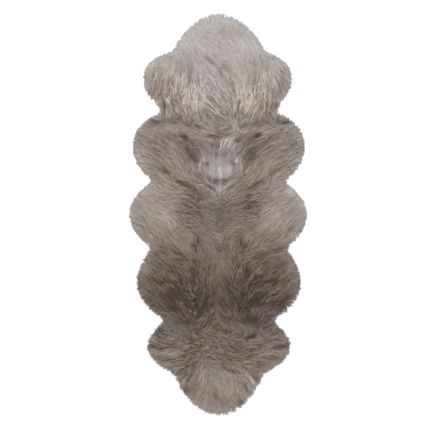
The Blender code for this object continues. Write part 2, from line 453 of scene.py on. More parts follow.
SHOULDER_PATCHES = (
    lone("upper shoulders", 0, 70, 48, 9, 0, -0.05, ruffle=-0.16),
    twin("shoulder dashes", 40, 98, 13, 20, 90, dashes=110),
    twin("lower shoulder dashes", 44, 104, 14, 7, 0, dashes=60),
    twin("plume", 25, 101, 11, 5, 90, 0.10),
    twin("plume's foot", 25, 107, 4, 3, 90, 0.10, -0.05),
    lone("left parting streak", -28, 77, 9, 1.6, 90, -0.22),
    lone("right parting streak", 36, 78, 9, 1.6, 90, -0.14, 0.05),
    twin("outer streak", 49, 80, 9, 1.6, 88, -0.08, 0.10),
    lone("left shoulder's side", -62, 92, 13, 11, 80, -0.14, 0.30, ruffle=0.3),
    lone("right shoulder's side", 60, 92, 12, 8, 105, -0.11, 0.15, ruffle=0.3),
    lone("right shoulder's rim", 70, 78, 6, 4, 90, -0.07, 0.10),
    twin("side spot", 56, 106, 3, 2.2, 100, -0.28),
    twin("inner spot", 40, 102, 3, 1.9, 100, -0.22),
    twin("collar spot", 23, 114, 3, 1.8, 30, -0.28),
    lone("nape band", -3, 88, 22, 9, 88, -0.02, -0.22),
    lone("nape hatch", 2, 84, 12, 8, 88, -0.12, -0.02, ruffle=-0.25),
    lone("left nape shade", -26, 80, 9, 5, 90, -0.09, 0.05),
    lone("right nape shade", 14, 108, 7, 6, 0, -0.07),
    lone("nape mark", 3, 75, 2.6, 2.0, 60, -0.24),
    lone("nape blush", 9, 80, 4, 2.5, 20, -0.07, -0.20),
    lone("left nape spot", -6, 102, 3.2, 2.0, 5, -0.15),
    lone("right nape spot", 11, 114, 3.0, 2.0, 5, -0.06, -0.15),
    lone("nape streak", 15, 88, 6, 1.6, 82, -0.19),
    lone("nape's foot", 1, 119, 14, 8, 0, -0.12),
    lone("nape shine", 2, 110, 7, 4, 40, 0.16),
    lone("nape's pale foot", 0, 115, 4, 3, 90, 0.08),
    lone("nape's left edge", -15, 95, 9, 4, 90, 0.07),
    twin("shoulder shine", 50, 86, 6, 6, 0, 0.05),
    twin("shoulder top shade", 30, 76, 14, 6, 0, -0.05, 0.04),
    twin("lower shoulder blush", 40, 106, 18, 9, 0, 0.00, 0.24),
    lone("right shoulder shine", 54, 80, 6, 6, 0, 0.09),
    lone("left shoulder light", -46, 81, 8, 4, 90, 0.05),
    lone("left shoulder shade", -52, 88, 14, 12, 0, -0.03),
    lone("nape's left foot", -18, 106, 5, 6, 90, 0.13),
    twin("lower shoulder shine", 47, 98, 10, 5, 0, 0.09),
    lone("right shoulder's foot", 54, 103, 12, 5, 0, 0.07),
    lone("left shoulder's foot", -32, 108, 9, 4, 0, 0.06),
    twin("waist", 36, 106, 26, 7, 0, 0.07, ruffle=0.3, dashes=130),
    # the hem's dark lines are painted shadow under the tips that hang from the shoulders
    twin("hem", 45, 124, 26, 2.4, -7, -0.12, 0.05),
    twin("hem's outer line", 66, 122.5, 6, 1.6, -10, -0.30, 0.05),
    twin("hem's middle line", 48, 122, 4, 1.4, -24, -0.22),
    twin("hem's inner line", 35, 124, 4, 1.5, -18, -0.22, -0.05),
    lone("hem's right part", 35, 121, 7, 5, 0, 0.08),
    twin("hem's end", 23, 127, 4, 1.6, -28, -0.30),
    lone("hem's left end", -62, 119, 5, 5, 0, 0.06),
)

UPPER_FLANK_PATCHES = (
    lone("poll", -6, 129, 4.5, 4, 0, 0.04, 0.55),
    lone("poll line", -7, 137, 6.5, 1.4, 0, -0.28, 0.30),
    lone("left poll tuft", -17, 132, 4, 4, 0, 0.09),
    lone("right poll tuft", 21, 130, 4.5, 3, 100, 0.15, -0.10),
    lone("tuft's shadow", 20, 140, 2.6, 2.3, 0, -0.30),
    lone("swirl", 9, 145, 8, 5, 128, 0.15, -0.15, ruffle=0.2),
    lone("swirl's left crest", 3, 147, 5, 0.8, 100, 0.25),
    lone("swirl's middle crest", 7, 144, 5.5, 0.8, 112, 0.22),
    lone("swirl's right crest", 11.5, 145, 5.5, 0.8, 125, 0.25),
    lone("swirl's top crest", 13, 139.5, 5, 0.9, 170, 0.25),
    lone("swirl's foot", 15.5, 148, 4, 0.8, 115, 0.20),
    lone("swirl's shadow", 5, 148, 4, 0.7, 105, -0.20, -0.05),
    lone("swirl's second shadow", 10, 148, 4, 0.7, 118, -0.20, -0.05),
    lone("left eye spot", -33.5, 137, 3.8, 2.1, 208, -0.42),
    lone("left eye spot's tail", -26, 142, 3.4, 1.8, 212, -0.24),
    lone("right eye spot", 39, 136.5, 3.8, 2.1, -28, -0.40),
    lone("right eye spot's tail", 32, 141, 3.4, 1.8, -30, -0.20),
    # painted shade in the flank's crease and hollow
    twin("flank crease", 46, 141, 9, 2.2, -35, -0.18),
    twin("flank hollow", 30, 154, 7, 5.5, 100, -0.34, -0.05),
    lone("right flank hollow's light", 32, 160, 8, 5, 0, 0.08),
    twin("cheek", 47, 130, 6.5, 3.5, -15, 0.08, 0.15),
    twin("low streak", 54, 172, 5.0, 1.5, -35, -0.26, 0.10),
    twin("notch streak", 36, 184, 10, 1.6, -25, -0.27, 0.10),
    twin("upper notch", 38, 175, 18, 8, -20, 0.02, 0.34),
    lone("right notch's inner side", 42, 192, 7, 6, 0, -0.05),
    twin("notch blush", 54, 182, 12, 6, 0, 0.00, 0.15),
    twin("lashes", 31, 169, 6, 3, -80, 0.04, 0.10),
    twin("shade over the curls", 25, 159, 6, 4, 0, -0.09),
    lone("right shade over the tuft", 22, 130, 3, 5, 100, 0.12),
    lone("left rim of the flank", -79, 157, 13, 5, 90, 0.13),
    twin("flank rim", 80, 157, 8, 4, 90, 0.07),
    twin("flank shade", 54, 144, 6, 4, -30, -0.05),
    lone("shade by the swirl", -2, 144, 6, 4, 90, -0.06),
    lone("left of the shield", -18, 158, 7, 4.5, 0, -0.12),
    lone("right of the swirl", 30, 141, 10, 3, 0, 0.05),
    twin("flank's middle light", 56, 148, 7, 4, 0, 0.07),
    # painted shade in the hollow by the shield
    twin("hollow by the shield", 21, 174, 6, 4, 90, -0.13, 0.05),
)

SHIELD_PATCHES = (
    twin("shield", 0, 168, 12, 9, 0, 0.30, -0.50, ruffle=-0.3),
    twin("shield's core", 0, 174, 10, 4, 0, 0.17),
    twin("shield's top", 0, 157, 10, 4, 0, 0.05, -0.20),
    lone("right chin", 11, 189, 6, 5, 0, 0.14),
    # painted shade in the shield's fold and crease
    twin("shield's fold", 4, 171, 4, 1.0, 90, -0.14),
    twin("shield's crease", 0, 165, 9, 1.1, 0, -0.12),
    twin("shield's eye", 13.5, 164, 1.8, 1.8, 0, -0.30),
    twin("shield's upper curl", 16.5, 160, 3.5, 1.4, -72, 0.20),
    twin("shield's lower curl", 20.5, 166, 4.0, 1.4, -100, 0.20),
    twin("tick", 4.5, 156, 2.6, 1.0, 90, -0.22),
    twin("chin mark", 4.2, 181, 2.6, 1.9, 0, -0.41, -0.20),
    twin("chin corner", 11.5, 178, 2.4, 1.4, -50, -0.24),
    twin("collar line", 10.5, 187, 4.0, 1.2, -35, -0.30),
    twin("collar shine", 9, 184, 4.0, 1.1, -35, 0.16, -0.10),
    twin("collar's middle", 0, 180, 8, 3, 0, 0.05),
    twin("collar's shade", 18, 180, 5, 3.5, 0, -0.08),
    twin("upper saddle", 0, 190, 9, 6, 0, 0.18, -0.25),
    twin("saddle's shoulder", 63, 193, 9, 5, 0, 0.07),
    lone("right notch's outer side", 52, 186, 8, 5, 0, -0.06),
)

MIDDLE_PATCHES = (
    twin("wavy side", 28, 205, 13, 9, 90, -0.10, ruffle=0.3, dashes=45),
    lone("right wavy side", 28, 208, 8, 6, 0, -0.10),
    twin("spine blotch", 0, 206, 7, 6, 0, -0.05, 0.10, ruffle=0.3),
    lone("spine blush", 2, 216, 9, 8, 0, -0.15, -0.38, ruffle=-0.3),
    twin("outer edge streak", 75, 222, 10, 1.2, -52, -0.13),
    twin("saddle shine", 50, 222, 7, 4, -50, 0.10, 0.15),
    twin("saddle's lower edge", 34, 235, 8, 3, -40, 0.08, 0.35),
    twin("saddle's outer edge", 70, 236, 8, 5, -20, 0.07, 0.10),
    lone("hind saddle's shade", 14, 220, 20, 4.5, 0, -0.07),
    lone("left rim of the middle", -80, 217, 13, 4, 90, -0.08),
    lone("left rim shine", -74, 236, 6, 4, 0, 0.12),
    lone("right rim shine", 68, 192, 5, 4, 0, 0.08),
    twin("blotch", 23, 245, 4.5, 3.2, 90, -0.26, -0.15, dashes=10),
    twin("blotch's top", 22, 237, 3, 2.2, 60, -0.06),
    twin("loin blotch", 0, 247, 5, 4, 0, -0.04, -0.30, ruffle=0.5),
    twin("loin shine", 34, 248, 26, 7, 0, 0.08),
    lone("right notch shade", 62, 250, 8, 5, 0, -0.06),
    twin("hind spine", 0, 238, 6, 6, 0, 0.06),
    twin("notch spot", 57, 251, 4.5, 2.4, -30, -0.16, 0.15),
    twin("notch line", 42, 254, 8, 1.5, -25, -0.12, 0.05),
    twin("flanks' upper side", 54, 256, 14, 7, 0, -0.055),
    twin("flanks' side light", 52, 287, 14, 7, -10, 0.065),
    twin("flanks' lower light", 48, 309, 7, 4, 0, 0.06),
)

LOWER_FLANK_PATCHES = (
    twin("middle strip", 1, 268, 15, 7, 90, 0.07, -0.25, ruffle=-0.3),
    lone("right of the strip", 17, 272, 10, 4, 0, 0.08),
    twin("dark flank", 31, 294, 15, 15, 90, -0.08, ruffle=0.8, dashes=40),
    twin("dark flank's foot", 34, 307, 13, 6, 0, -0.10),
    twin("dark flank's line", 37, 299, 22, 1.7, 145, -0.19),
    lone("right flank's foot", 68, 306, 8, 5, 0, -0.11),
    lone("right flank's light", 50, 288, 15, 7, 0, 0.08),
    lone("left flank's foot", -53, 320, 4, 4, 0, -0.10),
    twin("flank spot", 27, 273, 3.6, 2, -70, -0.19),
    twin("loins", 0, 294, 11, 10, 0, 0.00, -0.24, ruffle=-0.35),
    twin("loins' line", 0, 292, 14, 3.5, 90, -0.08),
    twin("hind loins", 0, 304, 7, 5, 90, -0.10, ruffle=-0.25),
    twin("lilac flank", 40, 300, 14, 8, 0, 0.00, -0.18),
    twin("chevrons", 0, 320, 12, 6, 0, -0.01, 0.10, ruffle=-0.1),
    twin("chevrons' middle", 0, 317, 4, 5, 0, -0.06),
    twin("chevrons' sides", 12, 314, 5, 4, 0, 0.05),
    twin("shade by the chevrons", 31, 321, 9, 4, 0, -0.14, -0.10),
    twin("shade over the hips", 42, 324, 17, 4.5, 0, -0.055),
    twin("lower rim", 75, 282, 18, 5, 90, 0.17),
    twin("flanks' outer foot", 66, 300, 10, 5, 0, -0.06),
    twin("shade under the loins", 13, 304, 8, 5, 90, -0.08),
)

HIP_PATCHES = (
    twin("hips' middle", 0, 334, 6, 5, 90, -0.08),
    lone("left hip's light", -18, 330, 7, 6, 0, 0.07),
    lone("left hip's rim", -58, 330, 7, 7, 0, -0.08),
    twin("upper hip rim", 62, 331, 6, 5, 0, -0.19),
    twin("hip dashes", 22, 350, 20, 12, 0, dashes=90),
    twin("hip shoulder", 31, 342, 7, 4, 0, 0.10),
    twin("hip blush", 31, 329, 6, 6, 0, -0.05, -0.50, ruffle=-0.6),
    lone("upper hip mark", -21, 330, 4, 1.4, 0, -0.20),
    lone("left hip mark", -29, 337, 5, 1.4, 25, -0.22),
    lone("right hip mark", 33, 336, 4.5, 1.4, -15, -0.32),
    twin("hip band", 64, 346, 8, 1.9, -4, -0.22, 0.25),
    twin("lower hip band", 58, 357, 7, 1.7, 3, -0.17, 0.05),
    twin("hip shine", 48, 352, 11, 2.6, 0, 0.16, 0.25),
    lone("seam", -12, 348, 13, 2, 90, 0.02, 0.35, ruffle=0.2),
    lone("right hip shade", 11, 352, 10, 6, 15, -0.05, ruffle=0.3),
    # painted shade in the hip's hollow
    lone("right hip's hollow", 40, 349, 8, 6, 0, -0.06),
    lone("left hip shade", -24, 348, 9, 9, 90, -0.09, ruffle=0.2),
    # painted shade in the dimple
    lone("dimple", 3, 362, 4, 2.6, 15, -0.06),
    lone("left hip spot", -28, 363, 5.5, 4, 20, -0.22, 0.12),
    lone("left hip's corner", -62, 356, 5, 3, 0, -0.04),
    twin("tail's shoulders", 38, 367, 4.5, 5, 0, 0.08),
    lone("tail's left root", -46, 370, 5, 5, 0, -0.10),
)

TAIL_PATCHES = (
    lone("tail streak", -14, 371, 7, 2.2, 94, 0.18, -0.20),
    lone("tail head", 6, 376, 14, 7, 20, 0.07, -0.25, ruffle=-0.15),
    lone("tail's middle", 0, 393, 16, 11, 0, -0.08, ruffle=-0.15),
    lone("tail line", 11, 368, 8, 1.7, 22, -0.28, 0.10),
    lone("tail's left side", -36, 380, 12, 6, 100, -0.13, 0.15, ruffle=0.6, dashes=60),
    lone("tail's right side", 43, 374, 12, 4, 50, -0.05, 0.10, ruffle=0.6, dashes=25),
    # painted shade in the tail's creases
    lone("tail's left crease", -29, 377, 5, 1.6, 122, -0.25, 0.10),
    lone("tail's second left crease", -37, 379, 5, 1.4, 118, -0.22, 0.05),
    lone("tail's left shine", -33, 379, 5, 1.2, 122, 0.22, 0.10),
    lone("tail's left edge", -32, 390, 4, 2.0, 112, -0.24, 0.10),
    # painted shade in the tail's right crease
    lone("tail's right crease", 38, 378, 5, 1.4, 55, -0.22, 0.10),
    lone("tail's right shine", 34, 380, 5, 1.2, 58, 0.20, 0.10),
    lone("tail spot", 28, 388, 4.5, 1.6, 60, -0.26, 0.25),
    lone("tail curl", -21, 396, 6, 1.4, 114, 0.15, -0.10),
    lone("tail's foot", 23, 404, 7, 4, 60, -0.19),
    lone("tail's foot spot", 22, 401, 3, 1.8, 60, -0.20),
    lone("tail's left foot", -22, 394, 10, 6, 110, -0.15),
    lone("tail's tip", -4, 410, 9, 4, 0, -0.02),
    lone("tail mark", -2, 394, 4, 1.8, 70, -0.20),
    lone("second tail mark", 5, 403, 3.5, 2, 40, -0.17),
)

WOOL_PATCHES = (
    *HEAD_PATCHES, *SHOULDER_PATCHES, *UPPER_FLANK_PATCHES, *SHIELD_PATCHES, *MIDDLE_PATCHES,
    *LOWER_FLANK_PATCHES, *HIP_PATCHES, *TAIL_PATCHES,
)


# -------------------- maps of the plan


@dataclass(frozen=True)
class Noise:
    """Soft noise in lumps of one size, from -strength to strength."""

    spacing: float
    seed: int
    strength: float = 1.0
    cells: int = 64

    def at(self, places: np.ndarray) -> np.ndarray:
        """Return the noise at some places.

        Args:
            places: rows of x and y.

        Returns:
            One value for each row.
        """
        lattice = np.random.default_rng(self.seed).uniform(-1.0, 1.0, (self.cells, self.cells))
        scaled = places / self.spacing + 0.5 * self.cells
        cell = np.floor(scaled).astype(int)
        u, v = ease(scaled - cell).T
        i, j = (cell % self.cells).T
        after_i, after_j = ((cell + 1) % self.cells).T
        low = lattice[i, j] * (1 - u) + lattice[after_i, j] * u
        high = lattice[i, after_j] * (1 - u) + lattice[after_i, after_j] * u
        return self.strength * (low * (1 - v) + high * v)


@dataclass
class Plan:
    """Maps of the rug's plan on one even grid: depth, rim, lie, height, tone and tint.

    Args:
        solid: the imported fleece, whose top the wool follows.
    """

    solid: bpy.types.Object
    step: float = 0.0035
    half: tuple[float, float] = (0.448, 0.948)
    roll_width: float = 0.115
    roll_fullness: float = 1.6
    crown: float = 0.047
    solid_from: float = 0.06        # how deep inside the rim the solid's own top begins to take over
    solid_blend: float = 0.05
    rim_pull: float = 0.90
    rim_pull_depth: float = 0.024
    stroke_blend: float = 0.022
    wander: Noise = Noise(0.04, 13, 0.010)
    turns: tuple[Noise, ...] = (Noise(0.075, 11, 0.30), Noise(0.032, 12, 0.22))       # radians
    least_turn: float = 0.3
    clouds: tuple[Noise, ...] = (Noise(0.06, 21, 0.04), Noise(0.025, 22, 0.04))
    tinges: Noise = Noise(0.035, 23, 0.12)
    streaks: Noise = Noise(0.0078, 24)
    streak_step: float = 0.005
    streak_steps: int = 4
    streak_depth: float = 0.055
    # painted light: sleek wool is painted paler near the rim, where it rolls away from the light
    sleek_rim_light: float = 0.13
    middle_and_side: tuple[float, float] = (0.09, 0.26)
    counts: tuple[int, ...] = field(init=False)
    maps: dict[str, np.ndarray] = field(default_factory=dict)

    def __post_init__(self) -> None:
        """Work out every map once."""
        self.counts = tuple(round(2 * h / self.step) + 1 for h in self.half)
        axes = [np.linspace(-h, h, n) for h, n in zip(self.half, self.counts)]
        x, y = np.meshgrid(*axes, indexing="ij")
        places = np.column_stack((x.ravel(), y.ravel()))
        depth, outward = self.measure_depth(places)
        self.keep("depth", depth)
        self.keep("outward", outward)
        self.keep("top", self.measure_top(places, depth))
        self.keep("lie", self.lay_wool(places, depth, outward))
        self.keep("parting", self.measure_partings())
        self.keep("staple", self.blend_sides(places, "staple"))
        for name, values in zip(("tone", "tint", "looseness"), self.shade_wool(places)):
            self.keep(name, values)

    def keep(self, name: str, values: np.ndarray) -> None:
        """Keep a map's values on the grid."""
        self.maps[name] = values.reshape(*self.counts, -1)

    def measure_depth(self, places: np.ndarray) -> tuple[np.ndarray, np.ndarray]:
        """Return how deep each place lies inside the outline, and the way out.

        Args:
            places: rows of x and y.

        Returns:
            The depths, below 0 outside, and unit vectors towards the nearest rim.
        """
        edge = outline_points(OUTLINE_STEPS)
        tree = KDTree(len(edge))
        for number, (x, y) in enumerate(edge):
            tree.insert((x, y, 0.0), number)
        tree.balance()
        gap = np.array([tree.find((x, y, 0.0))[0][:2] for x, y in places]) - places
        reach = np.where(places[:, 0] > 0, half_width(places[:, 1], 1), half_width(places[:, 1], -1))
        inside = (np.abs(places[:, 0]) < reach) & (np.abs(places[:, 1]) < 0.5 * RUG_LENGTH)
        sign = np.where(inside, 1.0, -1.0)
        return sign * np.linalg.norm(gap, axis=1), sign[:, None] * unit(gap)

    def measure_top(self, places: np.ndarray, depth: np.ndarray) -> np.ndarray:
        """Return the height of the combed wool: the solid's top under a soft roll.

        Args:
            places: rows of x and y.
            depth: how deep each lies inside the outline.

        Returns:
            One height for each row.
        """
        graph = bpy.context.evaluated_depsgraph_get()
        tree = BVHTree.FromObject(self.solid, graph)
        down = Vector((0.0, 0.0, -1.0))
        share = np.clip(depth / self.roll_width, 0.0, 1.0)
        roll = self.crown * (1.0 - (1.0 - share) ** self.roll_fullness) ** (1.0 / self.roll_fullness)
        top = roll.copy()
        for number in np.flatnonzero(depth > self.solid_from):
            hit = tree.ray_cast(Vector((*places[number], 1.0)), down)[0]
            if hit is not None:
                blend = min(1.0, (depth[number] - self.solid_from) / self.solid_blend)
                top[number] += blend * (hit.z - roll[number])
        return top

    def comb(self, places: np.ndarray, strokes: tuple[CombStroke, ...]) -> np.ndarray:
        """Return the sum of strokes of the comb, each weighed by how near it is.

        Args:
            places: rows of x and y.
            strokes: the strokes.

        Returns:
            A vector for each row.
        """
        total = np.zeros_like(places)
        for stroke in strokes:
            away = places - on_rug(stroke.x, stroke.y)
            weight = (np.sum(away**2, axis=1) + self.stroke_blend**2) ** -2
            angle = math.radians(stroke.heading)
            total[:, 0] += weight * math.cos(angle)
            total[:, 1] -= weight * math.sin(angle)
        return total

    def lay_wool(self, places: np.ndarray, depth: np.ndarray, outward: np.ndarray) -> np.ndarray:
        """Return the way the wool lies: the comb's strokes, turned outwards at the rim.

        Args:
            places: rows of x and y.
            depth: how deep each lies inside the outline.
            outward: unit vectors towards the nearest rim.

        Returns:
            A unit vector for each row.
        """
        y = places[:, 1]
        wander = self.wander.at(np.column_stack((np.zeros(len(places)), y)))
        off_middle = places[:, 0] - wool_middle(y) - wander
        folded = self.comb(np.column_stack((np.abs(off_middle), y)), TWIN_STROKES)
        strip = np.clip(np.abs(off_middle) / along_rug(y, MIDDLE_STRIP), 0.0, 1.0)
        folded[:, 0] *= np.where(off_middle < 0, -1.0, 1.0) * ease(strip)
        total = unit(folded + self.comb(places, LONE_STROKES))
        turn = sum(noise.at(places) for noise in self.turns)
        total = turned(total, turn * np.clip(self.blend_lobes(y, "looseness"), self.least_turn, 1.0))
        pull = self.rim_pull * np.exp(-np.maximum(depth, 0.0) / self.rim_pull_depth)[:, None]
        return unit((1.0 - pull) * total + pull * outward)

    def measure_partings(self) -> np.ndarray:
        """Return how fast the lie spreads: above 0 in a parting and below 0 in a crest."""
        lie = self.maps["lie"]
        return np.gradient(lie[..., 0], self.step, axis=0) + np.gradient(lie[..., 1], self.step, axis=1)

    def comb_streaks(self, places: np.ndarray) -> np.ndarray:
        """Return noise that is drawn out along the lie of the wool.

        Args:
            places: rows of x and y.

        Returns:
            One value for each row, with a spread of 1.
        """
        total = self.streaks.at(places)
        for sense in (self.streak_step, -self.streak_step):
            at = places
            for _ in range(self.streak_steps):
                at = at + sense * self.read("lie", at)
                total = total + self.streaks.at(at)
        return total / np.std(total)

    def blend_lobes(self, y: np.ndarray, name: str) -> np.ndarray:
        """Return a lobe's field blended along the rug.

        Args:
            y: places along the rug.
            name: the field of Lobe to blend.

        Returns:
            One value for each place.
        """
        at = [TONE_PLACES.get(lobe.name, lobe.centre) for lobe in LOBES]
        rows = sorted(zip(at, (getattr(lobe, name) for lobe in LOBES)))
        return np.interp(y, [row[0] for row in rows], [row[1] for row in rows])

    def blend_sides(self, places: np.ndarray, name: str) -> np.ndarray:
        """Return a lobe's middle and side fields blended along and across the rug.

        Args:
            places: rows of x and y.
            name: the field's name after middle_ and side_.

        Returns:
            One value for each row.
        """
        middle = self.blend_lobes(places[:, 1], "middle_" + name)
        sides = self.blend_lobes(places[:, 1], "side_" + name)
        low, high = self.middle_and_side
        share = np.clip((np.abs(places[:, 0]) - low) / (high - low), 0.0, 1.0)
        return middle + (sides - middle) * ease(share)

    def shade_wool(self, places: np.ndarray) -> tuple[np.ndarray, np.ndarray, np.ndarray]:
        """Return the wool's tone and tint, from 0 to 1, and its looseness.

        Args:
            places: rows of x and y.

        Returns:
            One tone, one tint and one looseness for each row.
        """
        off_middle = places[:, 0] - wool_middle(places[:, 1])
        tone = self.blend_sides(places, "tone")
        tint = self.blend_lobes(places[:, 1], "warmth")
        loose = self.blend_lobes(places[:, 1], "looseness")
        for patch in WOOL_PATCHES:
            across = places[:, 0] if patch.one_sided else np.abs(off_middle)
            here = patch.share_at(np.column_stack((across, places[:, 1])) - on_rug(patch.x, patch.y))
            tone += patch.change * here
            tint += patch.warmth * here
            loose += patch.ruffle * here
        depth = np.maximum(self.height("depth", places), 0.0)
        # painted light on sleek wool near the rim, against the shade where it rolls down
        tone += self.sleek_rim_light * np.exp(-depth / self.rim_pull_depth) * np.clip(1.0 - loose, 0.0, 1.0)
        tone += loose * sum(noise.at(places) for noise in self.clouds)
        tone += loose * self.streak_depth * self.comb_streaks(places)
        tint += loose * self.tinges.at(places)
        return tone, tint, loose

    def read(self, name: str, places: np.ndarray) -> np.ndarray:
        """Return a map's values between its grid points.

        Args:
            name: the map.
            places: an array whose last axis is x and y.

        Returns:
            An array of the same shape, with the map's own last axis.
        """
        values = self.maps[name]
        scaled = (places + np.array(self.half)) / self.step
        limit = np.array(self.counts) - 2
        cell = np.clip(np.floor(scaled).astype(int), 0, limit)
        part = np.clip(scaled - cell, 0.0, 1.0)
        i, j = cell[..., 0], cell[..., 1]
        u, v = part[..., 0:1], part[..., 1:2]
        low = values[i, j] * (1 - u) + values[i + 1, j] * u
        high = values[i, j + 1] * (1 - u) + values[i + 1, j + 1] * u
        return low * (1 - v) + high * v

    def height(self, name: str, places: np.ndarray) -> np.ndarray:
        """Return a map of one value, without its last axis."""
        return self.read(name, places)[..., 0]

    def tousle(self, places: np.ndarray) -> np.ndarray:
        """Return how tousled the wool is, which is its looseness up to 1."""
        return np.minimum(self.height("looseness", places), 1.0)


# -------------------- finishes


Colours = tuple[tuple[int, int, int], ...]


def linear(level: float) -> float:
    """Return the light of a display level from 0 to 255."""
    share = level / 255.0
    return share / 12.92 if share <= 0.04045 else ((share + 0.055) / 1.055) ** 2.4


def new_material(name: str, roughness: float) -> tuple[bpy.types.Material, bpy.types.Node]:
    """Start a material.

    Args:
        name: what it is called.
        roughness: how matt it is.

    Returns:
        The material and its shader.
    """
    material = bpy.data.materials.new(name)
    material.use_nodes = True
    shader = material.node_tree.nodes["Principled BSDF"]
    shader.inputs["Roughness"].default_value = roughness
    return material, shader


@dataclass(frozen=True)
class WoolFinish:
    """Greige wool: a palette of tones from taupe to silver, each in a cool and a warm tint.

    cool and warm are display colours, with levels from 0 to 255.
    """

    name: str = "combed_wool"
    gain: float = 0.82              # how bright the lit locks look beside their own colour
    roughness: float = 0.72
    specular: float = 0.25
    sheen: float = 0.35
    sheen_roughness: float = 0.45
    tones: tuple[float, ...] = (0.0, 0.25, 0.5, 0.75, 1.0)
    cool: Colours = (
        (55, 46, 44), (96, 87, 84), (119, 112, 109), (146, 142, 140), (179, 176, 175),
    )
    warm: Colours = (
        (66, 54, 46), (110, 96, 85), (136, 120, 108), (160, 145, 131), (188, 175, 161),
    )

    def add_ramp(self, tree: bpy.types.NodeTree, colours: Colours) -> bpy.types.Node:
        """Add a colour ramp over the tones.

        Args:
            tree: the material's nodes.
            colours: the display colour at each tone.

        Returns:
            The ramp's node.
        """
        ramp = tree.nodes.new("ShaderNodeValToRGB")
        stops = ramp.color_ramp.elements
        while len(stops) < len(self.tones):
            stops.new(1.0)
        for stop, tone, colour in zip(stops, self.tones, colours):
            stop.position = tone
            stop.color = (*(min(1.0, linear(level) / self.gain) for level in colour), 1.0)
        return ramp

    def build(self) -> bpy.types.Material:
        """Make the material, which reads its tone and tint from the wool's own map.

        Returns:
            The material.
        """
        material, shader = new_material(self.name, self.roughness)
        shader.inputs["Specular IOR Level"].default_value = self.specular
        shader.inputs["Sheen Weight"].default_value = self.sheen
        shader.inputs["Sheen Roughness"].default_value = self.sheen_roughness
        tree = material.node_tree
        palette = tree.nodes.new("ShaderNodeUVMap")
        palette.uv_map = PALETTE_MAP
        split = tree.nodes.new("ShaderNodeSeparateXYZ")
        tree.links.new(palette.outputs["UV"], split.inputs["Vector"])
        mix = tree.nodes.new("ShaderNodeMix")
        mix.data_type = "RGBA"
        tree.links.new(split.outputs["Y"], mix.inputs["Factor"])
        for colours, socket in ((self.cool, "A"), (self.warm, "B")):
            ramp = self.add_ramp(tree, colours)
            tree.links.new(split.outputs["X"], ramp.inputs["Fac"])
            target = next(s for s in mix.inputs if s.name == socket and s.type == "RGBA")
            tree.links.new(ramp.outputs["Color"], target)
        result = next(s for s in mix.outputs if s.type == "RGBA")
        tree.links.new(result, shader.inputs["Base Color"])
        return material


@dataclass(frozen=True)
class SuedeFinish:
    """The hide's flesh side: pale napped suede with faint mottling."""

    name: str = "tanned_suede"
    pale: tuple[float, float, float] = (0.70, 0.62, 0.50)
    deep: tuple[float, float, float] = (0.56, 0.47, 0.36)
    roughness: float = 0.92
    mottle_scale: float = 9.0
    mottle_detail: float = 6.0
    mottle_edges: tuple[float, float] = (0.35, 0.65)
    nap_scale: float = 420.0
    nap_detail: float = 4.0
    nap_height: float = 0.0004

    def add_noise(self, place: bpy.types.Node, scale: float, detail: float) -> bpy.types.Node:
        """Add a noise texture on the object's own coordinates.

        Args:
            place: the coordinates' node.
            scale: how fine the noise is.
            detail: how many finer layers it has.

        Returns:
            The texture's node.
        """
        tree = place.id_data
        noise = tree.nodes.new("ShaderNodeTexNoise")
        noise.inputs["Scale"].default_value = scale
        noise.inputs["Detail"].default_value = detail
        tree.links.new(place.outputs["Object"], noise.inputs["Vector"])
        return noise

    def build(self) -> bpy.types.Material:
        """Make the material, with its mottling as colour and its nap as a bump.

        Returns:
            The material.
        """
        material, shader = new_material(self.name, self.roughness)
        tree = material.node_tree
        place = tree.nodes.new("ShaderNodeTexCoord")
        mottle = self.add_noise(place, self.mottle_scale, self.mottle_detail)
        ramp = tree.nodes.new("ShaderNodeValToRGB")
        for stop, at, colour in zip(ramp.color_ramp.elements, self.mottle_edges, (self.deep, self.pale)):
            stop.position = at
            stop.color = (*colour, 1.0)
        nap = self.add_noise(place, self.nap_scale, self.nap_detail)
        bump = tree.nodes.new("ShaderNodeBump")
        bump.inputs["Distance"].default_value = self.nap_height
        tree.links.new(mottle.outputs["Fac"], ramp.inputs["Fac"])
        tree.links.new(ramp.outputs["Color"], shader.inputs["Base Color"])
        tree.links.new(nap.outputs["Fac"], bump.inputs["Height"])
        tree.links.new(bump.outputs["Normal"], shader.inputs["Normal"])
        return material


# -------------------- building help


def start_fresh() -> None:
    """Leave edit mode and select nothing, so that an operator acts on its own piece alone."""
    if bpy.context.object is not None and bpy.context.object.mode != "OBJECT":
        bpy.ops.object.mode_set(mode="OBJECT")
    bpy.ops.object.select_all(action="DESELECT")


def dress(piece: bpy.types.Object, material: bpy.types.Material) -> None:
    """Give a finished piece its finish and the body it rides on.

    Args:
        piece: the finished object.
        material: its finish.
    """
    piece.data.materials.clear()
    piece.data.materials.append(material)
    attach(piece, "root")
    log.info("%s: %d faces", piece.name, len(piece.data.polygons))


def lay_palette(mesh: bpy.types.Mesh, shades: np.ndarray, margin: float) -> None:
    """Give a mesh of wool its palette map.

    Args:
        mesh: the mesh.
        shades: a tone and a tint for each of its corners.
        margin: how far inside the palette's edges they stay.
    """
    layer = mesh.uv_layers.new(name=PALETTE_MAP)
    each = np.empty(len(mesh.loops), int)
    mesh.loops.foreach_get("vertex_index", each)
    layer.data.foreach_set("uv", np.clip(shades[each], margin, 1.0 - margin).ravel())


# -------------------- the hide


